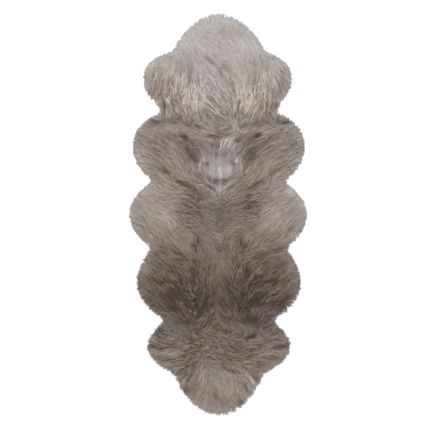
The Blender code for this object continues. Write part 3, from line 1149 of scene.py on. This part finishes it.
@dataclass
class Hide:
    """The tanned skin: one flat sheet that is cut to the lobes, inside the wool's reach."""

    name: str = "tanned_hide"
    side_steps: int = 140
    inset: float = 0.042
    smoothing: int = 5
    edge_round: float = 0.0008
    edge_segments: int = 2

    def build(self, material: bpy.types.Material) -> bpy.types.Object:
        """Model the hide on its solid and dress it.

        Args:
            material: the suede.

        Returns:
            The hide.
        """
        low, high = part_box("hide")
        start_fresh()
        bpy.ops.mesh.primitive_circle_add(vertices=2 * self.side_steps, radius=1.0, fill_type="NGON")
        hide = bpy.context.object
        hide.name = self.name
        edge = inset_points(self.side_steps, self.inset, self.smoothing)
        for vert, (x, y) in zip(hide.data.vertices, edge):
            vert.co = (x, y, low.z)
        bpy.ops.object.mode_set(mode="EDIT")
        bpy.ops.mesh.select_all(action="SELECT")
        bpy.ops.mesh.extrude_region_move(TRANSFORM_OT_translate={"value": (0.0, 0.0, high.z - low.z)})
        bpy.ops.mesh.select_all(action="SELECT")
        bpy.ops.mesh.normals_make_consistent(inside=False)
        bpy.ops.object.mode_set(mode="OBJECT")
        rounding = hide.modifiers.new("cut edge", "BEVEL")
        rounding.width = self.edge_round
        rounding.segments = self.edge_segments
        rounding.limit_method = "ANGLE"
        bpy.ops.object.modifier_apply(modifier=rounding.name)
        dress(hide, material)
        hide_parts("hide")
        return hide


# -------------------- the undercoat


@dataclass
class Undercoat:
    """The dense short wool under the locks: a rounded slab over the hide."""

    plan: Plan
    name: str = "undercoat"
    side_steps: int = 260
    smoothing: int = 9
    below_top: float = 0.012
    sleek_drop: float = 0.0016
    least_height: float = 0.001
    foot_inset: float = 0.019
    hide_inset: float = 0.0417
    over_hide: float = 0.0033
    edge_insets: tuple[float, ...] = (0.020, 0.024, 0.030, 0.038, 0.048, 0.058, 0.068)
    field_rows: int = 22
    spine_reach: float = 0.70
    weld: float = 0.00001
    ripples: Noise = Noise(0.012, 31, 0.0015)
    shade: float = 0.22
    speckles: Noise = Noise(0.006, 41, 0.06)
    tinges: Noise = Noise(0.007, 42, 0.2)
    palette_margin: float = 0.03

    def ring(self, inset: float) -> np.ndarray:
        """Return the outline's points, moved in."""
        return inset_points(self.side_steps, inset, self.smoothing)

    def surface(self, flat: np.ndarray) -> np.ndarray:
        """Return the height of the undercoat's top.

        Args:
            flat: rows of x and y.

        Returns:
            One height for each row.
        """
        sleek = 1.0 - self.plan.tousle(flat)
        drop = self.below_top + self.sleek_drop * sleek
        return np.maximum(self.plan.height("top", flat) - drop, self.least_height)

    def rings(self) -> list[np.ndarray]:
        """Lay out the coat from the hide's edge, round the rim and up to the middle line.

        Returns:
            One ring of points after another.
        """
        inner, foot = self.ring(self.hide_inset), self.ring(self.foot_inset)
        edges = [self.ring(inset) for inset in self.edge_insets]
        flats = [inner, inner, foot, *edges]
        heights = [self.over_hide, 0.0, 0.0, *(self.surface(flat) for flat in edges)]
        edge = edges[-1]
        mirrored = np.roll(edge[::-1], 1, axis=0)
        level = np.clip(0.5 * (edge[:, 1] + mirrored[:, 1]), -self.spine_reach, self.spine_reach)
        spine = np.column_stack((np.zeros_like(level), level))
        for row in range(1, self.field_rows + 1):
            share = row / self.field_rows
            flat = edge + share * (spine - edge)
            ripple = self.plan.tousle(flat) * self.ripples.at(flat) * (share < 1.0)
            flats.append(flat)
            heights.append(self.surface(flat) + ripple)
        return [np.column_stack((flat, np.broadcast_to(z, len(flat)))) for flat, z in zip(flats, heights)]

    def build(self, material: bpy.types.Material) -> bpy.types.Object:
        """Model the undercoat from a grid that is wrapped round the rug.

        Args:
            material: the wool.

        Returns:
            The undercoat.
        """
        rings = self.rings()
        columns, rows = 2 * self.side_steps, len(rings) - 1
        start_fresh()
        bpy.ops.mesh.primitive_grid_add(x_subdivisions=columns, y_subdivisions=rows, size=2.0)
        coat = bpy.context.object
        coat.name = self.name
        at = 0.5 * (np.array([vert.co[:2] for vert in coat.data.vertices]) + 1.0)       # 0 to 1
        column = np.rint(at[:, 0] * columns).astype(int) % columns
        placed = np.stack(rings)[np.rint(at[:, 1] * rows).astype(int), column]
        coat.data.vertices.foreach_set("co", placed.ravel())
        bpy.ops.object.mode_set(mode="EDIT")
        bpy.ops.mesh.select_all(action="SELECT")
        bpy.ops.mesh.remove_doubles(threshold=self.weld)
        bpy.ops.mesh.select_all(action="DESELECT")
        bpy.ops.mesh.select_mode(type="EDGE")
        bpy.ops.mesh.select_non_manifold()
        bpy.ops.mesh.edge_face_add()
        bpy.ops.mesh.select_all(action="SELECT")
        bpy.ops.mesh.normals_make_consistent(inside=False)
        bpy.ops.object.mode_set(mode="OBJECT")
        self.paint(coat.data)
        dress(coat, material)
        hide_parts("fleece")
        return coat

    def paint(self, mesh: bpy.types.Mesh) -> None:
        """Lay the palette map: the shaded depth of the wool above.

        Args:
            mesh: the undercoat's mesh.
        """
        while mesh.uv_layers:
            mesh.uv_layers.remove(mesh.uv_layers[0])
        flat = np.array([vert.co[:2] for vert in mesh.vertices])
        loose = self.plan.tousle(flat)
        tone = self.plan.height("tone", flat) - loose * (self.shade - self.speckles.at(flat))
        tint = self.plan.height("tint", flat) + loose * self.tinges.at(flat)
        lay_palette(mesh, np.column_stack((tone, tint)), self.palette_margin)


# -------------------- the locks


@dataclass(frozen=True)
class Strand:
    """One make of strand, a closed spindle: what happens at each knot from root to tip.

    reaches are shares of its length, lifts are metres above the undercoat, and girths
    are shares of its width at the knots between root and tip. The last values change its
    tone: painted shade that darkens the strand towards its root, deep in the wool, and a
    little paler at its tip.
    """

    width: float
    reaches: tuple[float, ...]
    lifts: tuple[float, ...]
    girths: tuple[float, ...]
    depth_shades: tuple[float, ...]


# The last values are painted shade: each strand darkens towards its root, deep in the wool.
GUARD_HAIR = Strand(
    0.0018, (0.0, 0.16, 0.60, 1.0), (-0.003, 0.003, 0.006, 0.006), (1.0, 0.85), (-0.23, -0.11, 0.0, 0.05)
)
FINE_HAIR = Strand(0.0013, (0.0, 0.28, 1.0), (-0.003, 0.004, 0.005), (1.0,), (-0.21, -0.06, 0.03))


@dataclass(frozen=True)
class LockKind:
    """How one kind of lock is made and how it lies.

    guard_hairs and fine_hairs are counted in each lock. radius is that of its root, and
    gather the share of it that is lost at the tip. stray and curl are in degrees, length
    in shares of the staple, and past_rim is how far past the outline tips may end.
    outward turns the lock to the rim and loft scales its height. contrast is how much the
    locks differ in tone, dark_share how many are dark, paler is painted light added to their
    tone, fineness scales the strands' width and rise lifts them.
    """

    guard_hairs: int
    fine_hairs: int
    radius: float
    gather: float
    stray: float
    curl: float
    length: tuple[float, float]
    past_rim: tuple[float, float] = (-0.012, 0.001)
    outward: float = 0.0
    loft: float = 1.0
    contrast: float = 1.0
    dark_share: float = 0.14
    paler: float = 0.0
    fineness: float = 1.0
    rise: float = 0.0


COMBED = LockKind(2, 6, 0.0043, 0.78, 10.0, 16.0, (0.78, 1.18))
SLEEK = LockKind(0, 12, 0.0068, 0.30, 3.0, 6.0, (0.70, 1.10), contrast=0.8, dark_share=0.03, fineness=1.15)
# Rim locks droop away from the light, so they are painted a little paler: painted light.
RIM = LockKind(1, 4, 0.0044, 0.60, 14.0, 14.0, (0.70, 1.00), (-0.005, 0.009), 0.82, loft=0.90, paler=0.04)
# Many fringe locks are dark: partly the wool's own dark locks, partly painted shade for the gaps under its
# hanging tips.
FRINGE = LockKind(3, 5, 0.0046, 0.88, 8.0, 14.0, (1.00, 1.25), loft=1.60, contrast=1.6, dark_share=0.28)
NAP = LockKind(1, 5, 0.0050, 0.60, 50.0, 34.0, (0.40, 0.70), contrast=1.6, dark_share=0.22, rise=0.0015)
# Dashes: thin dark tufts that stand for the shaded gaps between locks, painted shade.
DASH = LockKind(
    0, 5, 0.0027, 0.88, 9.0, 26.0, (0.70, 1.20), (-0.006, 0.001),
    contrast=0.6, dark_share=0.0, fineness=1.1, rise=0.0035,
)
MARK = LockKind(
    0, 6, 0.0032, 0.65, 8.0, 16.0, (0.70, 1.20), (-0.006, 0.001),
    contrast=1.1, dark_share=0.0, fineness=1.1, rise=0.003,
)


@dataclass
class Sowing:
    """Locks to grow: their kind and roots, and, for a marking's tufts, what is their own.

    lie holds unit vectors, length is in metres, and change is added to the tone.
    """

    kind: LockKind
    roots: np.ndarray
    lie: np.ndarray | None = None
    length: np.ndarray | None = None
    change: np.ndarray | float = 0.0

    def between(self, low: float, high: float) -> Sowing:
        """Return the locks whose roots lie between two lines.

        Args:
            low: the line nearer the tail.
            high: the line nearer the head.

        Returns:
            Those locks.
        """
        here = (self.roots[:, 1] > low) & (self.roots[:, 1] <= high)
        if self.lie is None:
            return Sowing(self.kind, self.roots[here])
        return Sowing(self.kind, self.roots[here], self.lie[here], self.length[here], self.change[here])


@dataclass
class Sower:
    """Where the locks of each kind stand, and how the marks' own tufts lie.

    Nap stands where the lie spreads faster than nap_from, and where the wool is looser
    than curly_from. mark_density is in tufts for each square pixel of a patch's spread,
    and mark_length in lengths of the patch. Other lengths and depths are in metres.
    """

    plan: Plan
    seed: int
    spacing: float = 0.0100
    jitter: float = 0.38
    root_depth: float = 0.022
    nap_depth: float = 0.033
    sleek_below: float = 0.62
    rim_rows: tuple[float, ...] = (0.013, 0.021, 0.030, 0.039)
    rim_depth: float = 0.0065
    rim_spacing: float = 0.0058
    rim_jitter: float = 0.5
    rim_smoothing: int = 5
    fringe_locks: int = 360
    fringe_reach: float = 0.250
    fringe_band: tuple[float, float] = (0.462, 0.535)
    nap_tries: int = 30000
    nap_from: float = 7.5
    nap_full: float = 60.0
    curly_from: float = 1.30
    curly_full: float = 0.40
    curly_share: float = 0.75
    mark_density: float = 1.7
    mark_share: float = 0.55
    mark_length: float = 2.4
    mark_limits: tuple[float, float] = (0.014, 0.040)
    mark_spread: tuple[float, float] = (0.6, 0.8)       # along the patch and across it
    dash_spread: float = 0.8
    dash_length: tuple[float, float] = (0.014, 0.026)
    # how much darker the dashes are painted, as shade in the gaps between locks
    dash_drop: float = 0.30
    across_from: tuple[float, float] = (0.006, 0.016)
    across_length: tuple[float, float] = (0.034, 0.050)
    across_turn: float = 24.0       # degrees

    def deeper(self, roots: np.ndarray, least: float) -> np.ndarray:
        """Return the roots that stand deeper inside the rim than a limit."""
        return roots[self.plan.height("depth", roots) > least]

    def sow_field(self) -> np.ndarray:
        """Sow the combed locks: an even, jittered field inside the rim.

        Returns:
            Rows of x and y.
        """
        rng = np.random.default_rng(self.seed)
        half_x, half_y = self.plan.half
        row_gap = self.spacing * math.sqrt(3.0) / 2.0
        found = []
        for number, y in enumerate(np.arange(-half_y, half_y, row_gap)):
            x = np.arange(-half_x, half_x, self.spacing) + 0.5 * self.spacing * (number % 2)
            found.append(np.column_stack((x, np.full(len(x), y))))
        roots = np.vstack(found)
        roots += rng.uniform(-self.jitter, self.jitter, roots.shape) * self.spacing
        return self.deeper(roots, self.root_depth)

    def sow_rim(self) -> np.ndarray:
        """Sow the rim's locks, in rows that follow the outline.

        Returns:
            Rows of x and y.
        """
        rng = np.random.default_rng(self.seed + 1)
        edge = outline_points(OUTLINE_STEPS)
        around = np.linalg.norm(np.roll(edge, -1, axis=0) - edge, axis=1).sum()
        found = []
        for inset in self.rim_rows:
            row = inset_points(round(0.5 * around / self.rim_spacing), inset, self.rim_smoothing)
            shift = rng.uniform(-self.rim_jitter, self.rim_jitter, row.shape)
            found.append(row + shift * self.rim_spacing)
        return self.deeper(np.vstack(found), self.rim_depth)

    def sow_fringe(self) -> np.ndarray:
        """Sow the long locks that hang from the shoulders over the flanks.

        Returns:
            Rows of x and y.
        """
        rng = np.random.default_rng(self.seed + 2)
        x = rng.uniform(-1.0, 1.0, self.fringe_locks) * self.fringe_reach
        return np.column_stack((x, rng.uniform(*self.fringe_band, self.fringe_locks)))

    def sow_nap(self) -> np.ndarray:
        """Sow the short tousled locks that stand in the partings and the curls.

        Returns:
            Rows of x and y.
        """
        rng = np.random.default_rng(self.seed + 3)
        roots = rng.uniform(-1.0, 1.0, (self.nap_tries, 2)) * np.array(self.plan.half)
        parting = (self.plan.height("parting", roots) - self.nap_from) / self.nap_full
        loose = self.plan.height("looseness", roots)
        curly = np.clip((loose - self.curly_from) / self.curly_full, 0.0, 1.0)
        chosen = rng.random(self.nap_tries) < np.maximum(parting, 0.0) + self.curly_share * curly
        return self.deeper(roots[chosen], self.nap_depth)

    def sow_marks(self) -> Sowing:
        """Sow the tufts that draw the sharp patches, on each side they lie on.

        Returns:
            The tufts.
        """
        rng = np.random.default_rng(self.seed + 4)
        roots, lies, lengths, changes = [], [], [], []
        for patch in filter(WoolPatch.is_sharp, WOOL_PATCHES):
            count = math.ceil(self.mark_density * patch.length * patch.breadth)
            length = np.clip(self.mark_length * patch.length * PIXEL, *self.mark_limits)
            log.debug("%s: %d tufts on each side it lies on", patch.name, count)
            for side in patch.sides():
                ahead, aside = patch.ways(side)
                forth = rng.uniform(-1.0, 1.0, (count, 1)) * patch.length * PIXEL
                across = rng.uniform(-1.0, 1.0, (count, 1)) * patch.breadth * PIXEL
                start = patch.centre(side) + ahead * (self.mark_spread[0] * forth - 0.5 * length)
                roots.append(start + self.mark_spread[1] * aside * across)
                lies.append(np.tile(ahead, (count, 1)))
                lengths.append(np.full(count, length))
                changes.append(np.full(count, self.mark_share * patch.change))
        return Sowing(MARK, *(np.concatenate(rows) for rows in (roots, lies, lengths, changes)))

    def sow_dashes(self) -> Sowing:
        """Sow the thin dark tufts, painted shade for the gaps between locks, of the patches
        that have some, on each side they lie on.

        Returns:
            The tufts.
        """
        rng = np.random.default_rng(self.seed + 5)
        spread = self.dash_spread * PIXEL
        found = []
        for patch in WOOL_PATCHES:
            for side in patch.sides():
                ahead, aside = patch.ways(side)
                forth = spread * patch.length * rng.normal(0.0, 1.0, (patch.dashes, 1))
                across = spread * patch.breadth * rng.normal(0.0, 1.0, (patch.dashes, 1))
                found.append(patch.centre(side) + ahead * forth + aside * across)
        roots = self.deeper(np.vstack(found), self.root_depth)
        length = rng.uniform(*self.dash_length, len(roots))
        change = np.full(len(roots), -self.dash_drop)
        return Sowing(DASH, roots, self.plan.read("lie", roots), length, change)

    def sow_across(self) -> Sowing:
        """Sow the locks that lie across the partings, from one side or the other.

        Returns:
            The locks.
        """
        rng = np.random.default_rng(self.seed + 6)
        found, lies = [], []
        for parting in PARTINGS:
            count = parting.locks
            side = rng.choice((-1.0, 1.0), count)
            at = np.array([on_rug(parting.x, y) for y in rng.uniform(parting.top, parting.foot, count)])
            at[:, 0] += side * rng.uniform(*self.across_from, count)
            turn = np.radians(parting.rise + rng.normal(0.0, self.across_turn, count))
            found.append(at)
            lies.append(np.column_stack((-side * np.cos(turn), np.sin(turn))))
        roots = np.vstack(found)
        length = rng.uniform(*self.across_length, len(roots))
        return Sowing(NAP, roots, np.vstack(lies), length, np.zeros(len(roots)))

    def sow_all(self) -> tuple[Sowing, ...]:
        """Sow every lock of the rug.

        Returns:
            The locks, kind by kind.
        """
        inner = self.sow_field()
        sleek = self.plan.height("looseness", inner) < self.sleek_below
        return (
            Sowing(COMBED, inner[~sleek]),
            Sowing(SLEEK, inner[sleek]),
            Sowing(RIM, self.sow_rim()),
            Sowing(FRINGE, self.sow_fringe()),
            Sowing(NAP, self.sow_nap()),
            self.sow_marks(),
            self.sow_dashes(),
            self.sow_across(),
        )


# -------------------- the combed wool


@dataclass
class Locks:
    """Locks that have their paths, with what is each one's own."""

    line: np.ndarray
    loose: np.ndarray
    lift: np.ndarray
    room: np.ndarray
    tone: np.ndarray
    tint: np.ndarray

    def for_each(self, strands: int) -> Locks:
        """Return the locks with each one's values repeated for its strands."""
        return Locks(*(np.repeat(getattr(self, part.name), strands, axis=0) for part in fields(self)))


@dataclass
class Tufts:
    """The strands of some locks: knots by strand, widths, and tone and tint at each knot."""

    knots: np.ndarray
    widths: np.ndarray
    shades: np.ndarray
    make: Strand


@dataclass
class Spindles:
    """The bodies of some strands: corners, palette places and facings, and the corners of each face."""

    corners: np.ndarray
    places: np.ndarray
    facings: np.ndarray
    faces: np.ndarray


@dataclass(frozen=True)
class Section:
    """One piece of the combed wool: the locks whose roots lie between two lines."""

    name: str
    low: float
    high: float


SECTIONS = (
    Section("wool_head", 0.620, 1.0),
    Section("wool_shoulders", 0.420, 0.620),
    Section("wool_upper_flanks", 0.155, 0.420),
    Section("wool_middle", -0.120, 0.155),
    Section("wool_lower_flanks", -0.400, -0.120),
    Section("wool_hips", -0.670, -0.400),
    Section("wool_tail", -1.0, -0.670),
)
SECTION_SEEDS = 100                 # more than the sowings, so that none shares its seed


@dataclass
class Wool:
    """The combed wool: tufts of tapered strands over the undercoat.

    root_back is how far behind its root a lock starts, and bed how far under the wool's
    top its strands begin. pale_at is where along a lock its shades are taken, and
    own_place the share of the tone that a knot takes from its own place instead.
    """

    plan: Plan
    seed: int = 5
    root_back: float = 0.009
    bed: float = 0.012
    path_steps: int = 9
    path_looseness: tuple[float, float] = (0.5, 1.8)
    curl_start: float = 0.3
    rim_looseness: float = 0.35
    lift_range: tuple[float, float] = (-0.0015, 0.0050)
    strand_lift_spread: float = 0.0008
    strand_reach: tuple[float, float] = (0.74, 1.0)
    tip_reach: tuple[float, float] = (0.90, 1.0)
    knot_stray: float = 0.0008
    rim_loft: float = 0.25
    full_loft_depth: float = 0.030
    sleek_loft: float = 0.45
    root_height: float = 0.0006
    knot_height: float = 0.0015
    corner_height: float = 0.0003
    strand_widths: tuple[float, float] = (0.70, 1.20)
    strand_half: float = 0.58
    strand_flatness: float = 0.7
    strand_roundness: float = 0.24
    ring_turns: tuple[float, ...] = (90.0, 210.0, 330.0)        # degrees
    palette_ring: float = 0.035
    palette_margin: float = 0.02
    tone_spread: float = 0.060
    strand_tone_spread: float = 0.014
    dark_drop: float = 0.14
    tint_spread: float = 0.11
    strand_tint_spread: float = 0.05
    # share of the painted root shade that strands keep where the wool is sleek
    sleek_depth_shade: float = 0.10
    pale_at: float = 0.55
    own_place: float = 0.70

    def paths(self, sowing: Sowing, rng: np.random.Generator) -> np.ndarray:
        """Return the line that each lock follows over the undercoat.

        Args:
            sowing: the locks.
            rng: the source of the locks' own turns.

        Returns:
            An array of locks by path points by x and y.
        """
        at, kind = sowing.roots, sowing.kind
        staple = self.plan.height("staple", at) if sowing.length is None else sowing.length
        length = staple * rng.uniform(*kind.length, len(at))
        loose = np.clip(self.plan.height("looseness", at), *self.path_looseness)
        stray = loose * np.radians(rng.normal(0.0, kind.stray, len(at)))
        curl = loose * np.radians(rng.normal(0.0, kind.curl, len(at)))
        back = self.root_back * self.plan.read("lie", at) if sowing.lie is None else 0.0
        line = [at - back]
        for number in range(1, self.path_steps):
            lie = self.plan.read("lie", at) if sowing.lie is None else sowing.lie
            if kind.outward > 0.0:
                lie = unit((1.0 - kind.outward) * lie + kind.outward * self.plan.read("outward", at))
            step = turned(lie, stray + curl * (number / self.path_steps - self.curl_start))
            at = at + step * (length / (self.path_steps - 1))[:, None]
            line.append(at)
        return np.stack(line, axis=1)

    def room(self, line: np.ndarray, past: np.ndarray) -> np.ndarray:
        """Return the share of each path that lies inside the rim, give or take its own reach.

        Args:
            line: paths of x and y.
            past: how far past the outline each may end.

        Returns:
            A share from 0 to 1 for each path.
        """
        depth = self.plan.height("depth", line) + past[:, None]
        inside = np.cumprod(depth > 0.0, axis=1).sum(axis=1)
        last = np.clip(inside - 1, 0, self.path_steps - 2)
        rows = np.arange(len(line))
        here, there = depth[rows, last], depth[rows, last + 1]
        part = np.clip(here / np.maximum(here - there, TINY), 0.0, 1.0)
        return np.where(inside >= self.path_steps, 1.0, (last + part) / (self.path_steps - 1))

    def along(self, line: np.ndarray, share: np.ndarray) -> np.ndarray:
        """Return the points of paths at a share of their length.

        Args:
            line: paths of x and y.
            share: one share for each path.

        Returns:
            Rows of x and y.
        """
        scaled = np.clip(share, 0.0, 1.0) * (self.path_steps - 1)
        last = np.minimum(scaled.astype(int), self.path_steps - 2)
        rows = np.arange(len(line))
        part = (scaled - last)[:, None]
        return line[rows, last] * (1 - part) + line[rows, last + 1] * part

    def grow(self, sowing: Sowing, seed: int) -> list[Tufts]:
        """Grow every strand of some locks.

        Args:
            sowing: the locks.
            seed: the source of the locks' chance differences.

        Returns:
            The guard hairs and the fine hairs.
        """
        rng = np.random.default_rng(seed)
        roots, kind = sowing.roots, sowing.kind
        count = len(roots)
        line = self.paths(sowing, rng)
        loose = self.plan.height("looseness", roots)
        lift = kind.rise + loose * rng.uniform(*self.lift_range, count)
        left, right = (along_rug(roots[:, 1], rows) for rows in (LEFT_REACH, RIGHT_REACH))
        past = np.where(roots[:, 0] < 0.0, left, right)
        past += rng.uniform(*kind.past_rim, count) * np.clip(loose, self.rim_looseness, 1.0)
        room = self.room(line, past)
        shown = self.along(line, self.pale_at * room)
        tone = rng.normal(0.0, self.tone_spread, count)
        tone -= self.dark_drop * (rng.random(count) < kind.dark_share)
        tone = kind.paler + sowing.change + loose * kind.contrast * tone
        tone += (1.0 - self.own_place) * self.plan.height("tone", shown)
        tint = self.plan.height("tint", shown)
        tint += np.minimum(loose, 1.0) * rng.normal(0.0, self.tint_spread, count)
        locks = Locks(line, loose, lift, room, tone, tint)
        makes = ((GUARD_HAIR, kind.guard_hairs), (FINE_HAIR, kind.fine_hairs))
        return [self.strands(locks.for_each(hairs), kind, make, rng) for make, hairs in makes if hairs > 0]

    def strands(self, own: Locks, kind: LockKind, make: Strand, rng: np.random.Generator) -> Tufts:
        """Grow the locks' strands of one make.

        Args:
            own: each strand's lock.
            kind: the locks' kind.
            make: the strands' make.
            rng: the source of the strands' chance differences.

        Returns:
            The strands.
        """
        count = len(own.room)
        tousled = np.minimum(own.loose, 1.0)
        radius = kind.radius * np.sqrt(rng.random(count))
        angle = rng.uniform(0.0, 2.0 * math.pi, count)
        spread = np.column_stack((radius * np.cos(angle), radius * np.sin(angle)))
        reach = rng.uniform(*self.strand_reach, count)
        reach = np.minimum(reach, own.room * rng.uniform(*self.tip_reach, count))
        lift = own.lift + own.loose * rng.normal(0.0, self.strand_lift_spread, count)
        knots = np.empty((count, len(make.reaches), 3))
        for knot, (share, rise) in enumerate(zip(make.reaches, make.lifts)):
            flat = self.along(own.line, reach * share) + spread * (1.0 - kind.gather * share)
            if 0.0 < share < 1.0:
                flat = flat + self.knot_stray * tousled[:, None] * rng.normal(0.0, 1.0, flat.shape)
            body = np.maximum(self.plan.height("top", flat) - self.bed, 0.0)
            knots[:, knot, :2] = flat
            if share > 0.0:
                inside = self.rim_loft + self.plan.height("depth", flat) / self.full_loft_depth
                loft = kind.loft * np.clip(inside, self.rim_loft, 1.0)
                loft = loft * np.clip(own.loose, self.sleek_loft, 1.0)
                knots[:, knot, 2] = np.maximum(body + loft * (rise + lift), self.knot_height)
            else:
                knots[:, knot, 2] = np.maximum(body + rise, self.root_height)
        widths = kind.fineness * make.width * rng.uniform(*self.strand_widths, count)
        tone = own.tone + own.loose * rng.normal(0.0, self.strand_tone_spread, count)
        tint = own.tint + tousled * rng.normal(0.0, self.strand_tint_spread, count)
        # painted shade at the strands' roots, weaker where the wool is sleek
        depth_shade = self.sleek_depth_shade + (1.0 - self.sleek_depth_shade) * tousled
        shades = np.empty((count, len(make.depth_shades), 2))
        shades[..., 0] = tone[:, None] + depth_shade[:, None] * np.array(make.depth_shades)
        shades[..., 0] += self.own_place * self.plan.height("tone", knots[..., :2])
        shades[..., 1] = tint[:, None]
        return Tufts(knots, widths, shades, make)

    def spin(self, tufts: Tufts) -> Spindles:
        """Give strands their body: a root point, three-sided rings and a tip point.

        Args:
            tufts: the strands.

        Returns:
            The bodies.
        """
        rings = len(tufts.make.girths)
        size = 3 * rings + 2
        count = len(tufts.knots)
        corners, facings = np.empty((2, count, size, 3))
        places = np.empty((count, size, 2))
        corners[:, 0], corners[:, -1] = tufts.knots[:, 0], tufts.knots[:, -1]
        places[:, 0], places[:, -1] = tufts.shades[:, 0], tufts.shades[:, -1]
        for ring, girth in enumerate(tufts.make.girths):
            ahead = unit(tufts.knots[:, ring + 2] - tufts.knots[:, ring])
            across = unit(np.cross(ahead, (0.0, 0.0, 1.0)))
            above = np.cross(across, ahead)
            half = self.strand_half * girth * tufts.widths[:, None]
            for at, turn in enumerate(self.ring_turns, 1 + 3 * ring):
                cos, sin = math.cos(math.radians(turn)), math.sin(math.radians(turn))
                out = cos * across + self.strand_flatness * sin * above
                corners[:, at] = tufts.knots[:, ring + 1] + half * out
                places[:, at] = tufts.shades[:, ring + 1] + self.palette_ring * np.array((sin, cos))
                facings[:, at] = above + self.strand_roundness * (cos * across + sin * above)
            if ring == 0:
                facings[:, 0] = above
            facings[:, -1] = above
        corners[..., 2] = np.maximum(corners[..., 2], self.corner_height)
        faces = [(0, 1, 2), (0, 2, 3), (0, 3, 1)]
        for base in range(1, 3 * (rings - 1), 3):
            for a, b in ((base, base + 1), (base + 1, base + 2), (base + 2, base)):
                faces += [(a, b + 3, b), (a, a + 3, b + 3)]
        end = size - 4
        faces += [(end, size - 1, end + 1), (end + 1, size - 1, end + 2), (end + 2, size - 1, end)]
        index = np.array(faces)[None] + size * np.arange(count)[:, None, None]
        facings = unit(facings).reshape(-1, 3)
        return Spindles(corners.reshape(-1, 3), places.reshape(-1, 2), facings, index.reshape(-1, 3))

    def join(self, name: str, spindles: list[Spindles]) -> bpy.types.Object:
        """Join strands into one mesh.

        Args:
            name: what the piece is called.
            spindles: the strands' bodies.

        Returns:
            The piece.
        """
        starts = np.cumsum([0, *(len(some.corners) for some in spindles)])
        index = np.vstack([some.faces + start for some, start in zip(spindles, starts)])
        corners = np.vstack([some.corners for some in spindles])
        mesh = bpy.data.meshes.new(name)
        mesh.vertices.add(len(corners))
        mesh.vertices.foreach_set("co", corners.ravel())
        mesh.loops.add(index.size)
        mesh.loops.foreach_set("vertex_index", index.ravel())
        mesh.polygons.add(len(index))
        mesh.polygons.foreach_set("loop_start", np.arange(0, index.size, 3))
        mesh.polygons.foreach_set("loop_total", np.full(len(index), 3))
        mesh.update(calc_edges=True)
        mesh.shade_smooth()
        mesh.normals_split_custom_set_from_vertices(np.vstack([some.facings for some in spindles]))
        lay_palette(mesh, np.vstack([some.places for some in spindles]), self.palette_margin)
        piece = bpy.data.objects.new(name, mesh)
        bpy.context.scene.collection.objects.link(piece)
        return piece

    def build(self, material: bpy.types.Material) -> list[bpy.types.Object]:
        """Build the wool, each section as a joined mesh of spindles.

        Args:
            material: the wool's finish.

        Returns:
            The sections, from the head to the tail.
        """
        sowings = Sower(self.plan, self.seed).sow_all()
        pieces = []
        for number, section in enumerate(SECTIONS, 1):
            spindles = []
            for turn, sowing in enumerate(sowings):
                here = sowing.between(section.low, section.high)
                seed = self.seed + SECTION_SEEDS * number + turn
                spindles += [self.spin(tufts) for tufts in self.grow(here, seed)]
            piece = self.join(section.name, spindles)
            dress(piece, material)
            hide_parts("fleece")
            pieces.append(piece)
        return pieces


# -------------------- the studio


@dataclass
class Studio:
    """The pale floor, the soft light and the camera above the rug."""

    lens: float = 85.0
    sensor: float = 36.0
    far_clip: float = 50.0
    floor_size: float = 14.0
    floor_drop: float = 0.0005
    floor_grey: float = 0.92
    floor_roughness: float = 0.9
    dome: float = 1.05
    key_power: float = 75.0
    key_size: float = 3.0
    key_place: tuple[float, float, float] = (-0.6, 1.8, 3.2)

    def add_camera(self) -> None:
        """Hang the camera straight above, framed as the photograph is."""
        camera = bpy.data.objects.new("camera", bpy.data.cameras.new("camera"))
        bpy.context.scene.collection.objects.link(camera)
        camera.data.lens = self.lens
        camera.data.sensor_width = self.sensor
        middle = 0.5 * FRAME_PIXELS
        distance = FRAME_PIXELS * PIXEL * self.lens / self.sensor
        camera.location = ((middle - RUG_MIDDLE[0]) * PIXEL, (RUG_MIDDLE[1] - middle) * PIXEL, distance)
        camera.data.clip_end = self.far_clip
        bpy.context.scene.camera = camera

    def add_floor(self) -> None:
        """Lay a plain pale floor just under the rug."""
        start_fresh()
        bpy.ops.mesh.primitive_plane_add(size=self.floor_size, location=(0.0, 0.0, -self.floor_drop))
        floor = bpy.context.object
        floor.name = "floor"
        material, shader = new_material("pale_floor", self.floor_roughness)
        shader.inputs["Base Color"].default_value = (*(self.floor_grey,) * 3, 1.0)
        floor.data.materials.append(material)

    def add_light(self) -> None:
        """Light the rug from a pale dome and one large soft lamp towards its head."""
        world = bpy.data.worlds.new("dome")
        world.use_nodes = True
        background = world.node_tree.nodes["Background"]
        background.inputs["Color"].default_value = (1.0, 1.0, 1.0, 1.0)
        background.inputs["Strength"].default_value = self.dome
        bpy.context.scene.world = world
        lamp = bpy.data.lights.new("key", "AREA")
        lamp.energy = self.key_power
        lamp.size = self.key_size
        key = bpy.data.objects.new("key", lamp)
        key.location = self.key_place
        key.rotation_euler = (-Vector(self.key_place)).to_track_quat("-Z", "Y").to_euler()
        bpy.context.scene.collection.objects.link(key)
        bpy.context.scene.view_settings.view_transform = "Standard"


def main() -> None:
    """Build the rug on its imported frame, piece by piece."""
    logging.basicConfig(level=logging.INFO, format="%(name)s: %(message)s")
    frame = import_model()
    studio = Studio()
    studio.add_camera()
    studio.add_floor()
    studio.add_light()

    plan = Plan(frame["nodes"]["fleece"])
    wool = WoolFinish().build()
    hide = Hide().build(SuedeFinish().build())
    pieces = [Undercoat(plan).build(wool), *Wool(plan).build(wool)]


if __name__ == "__main__":
    main()
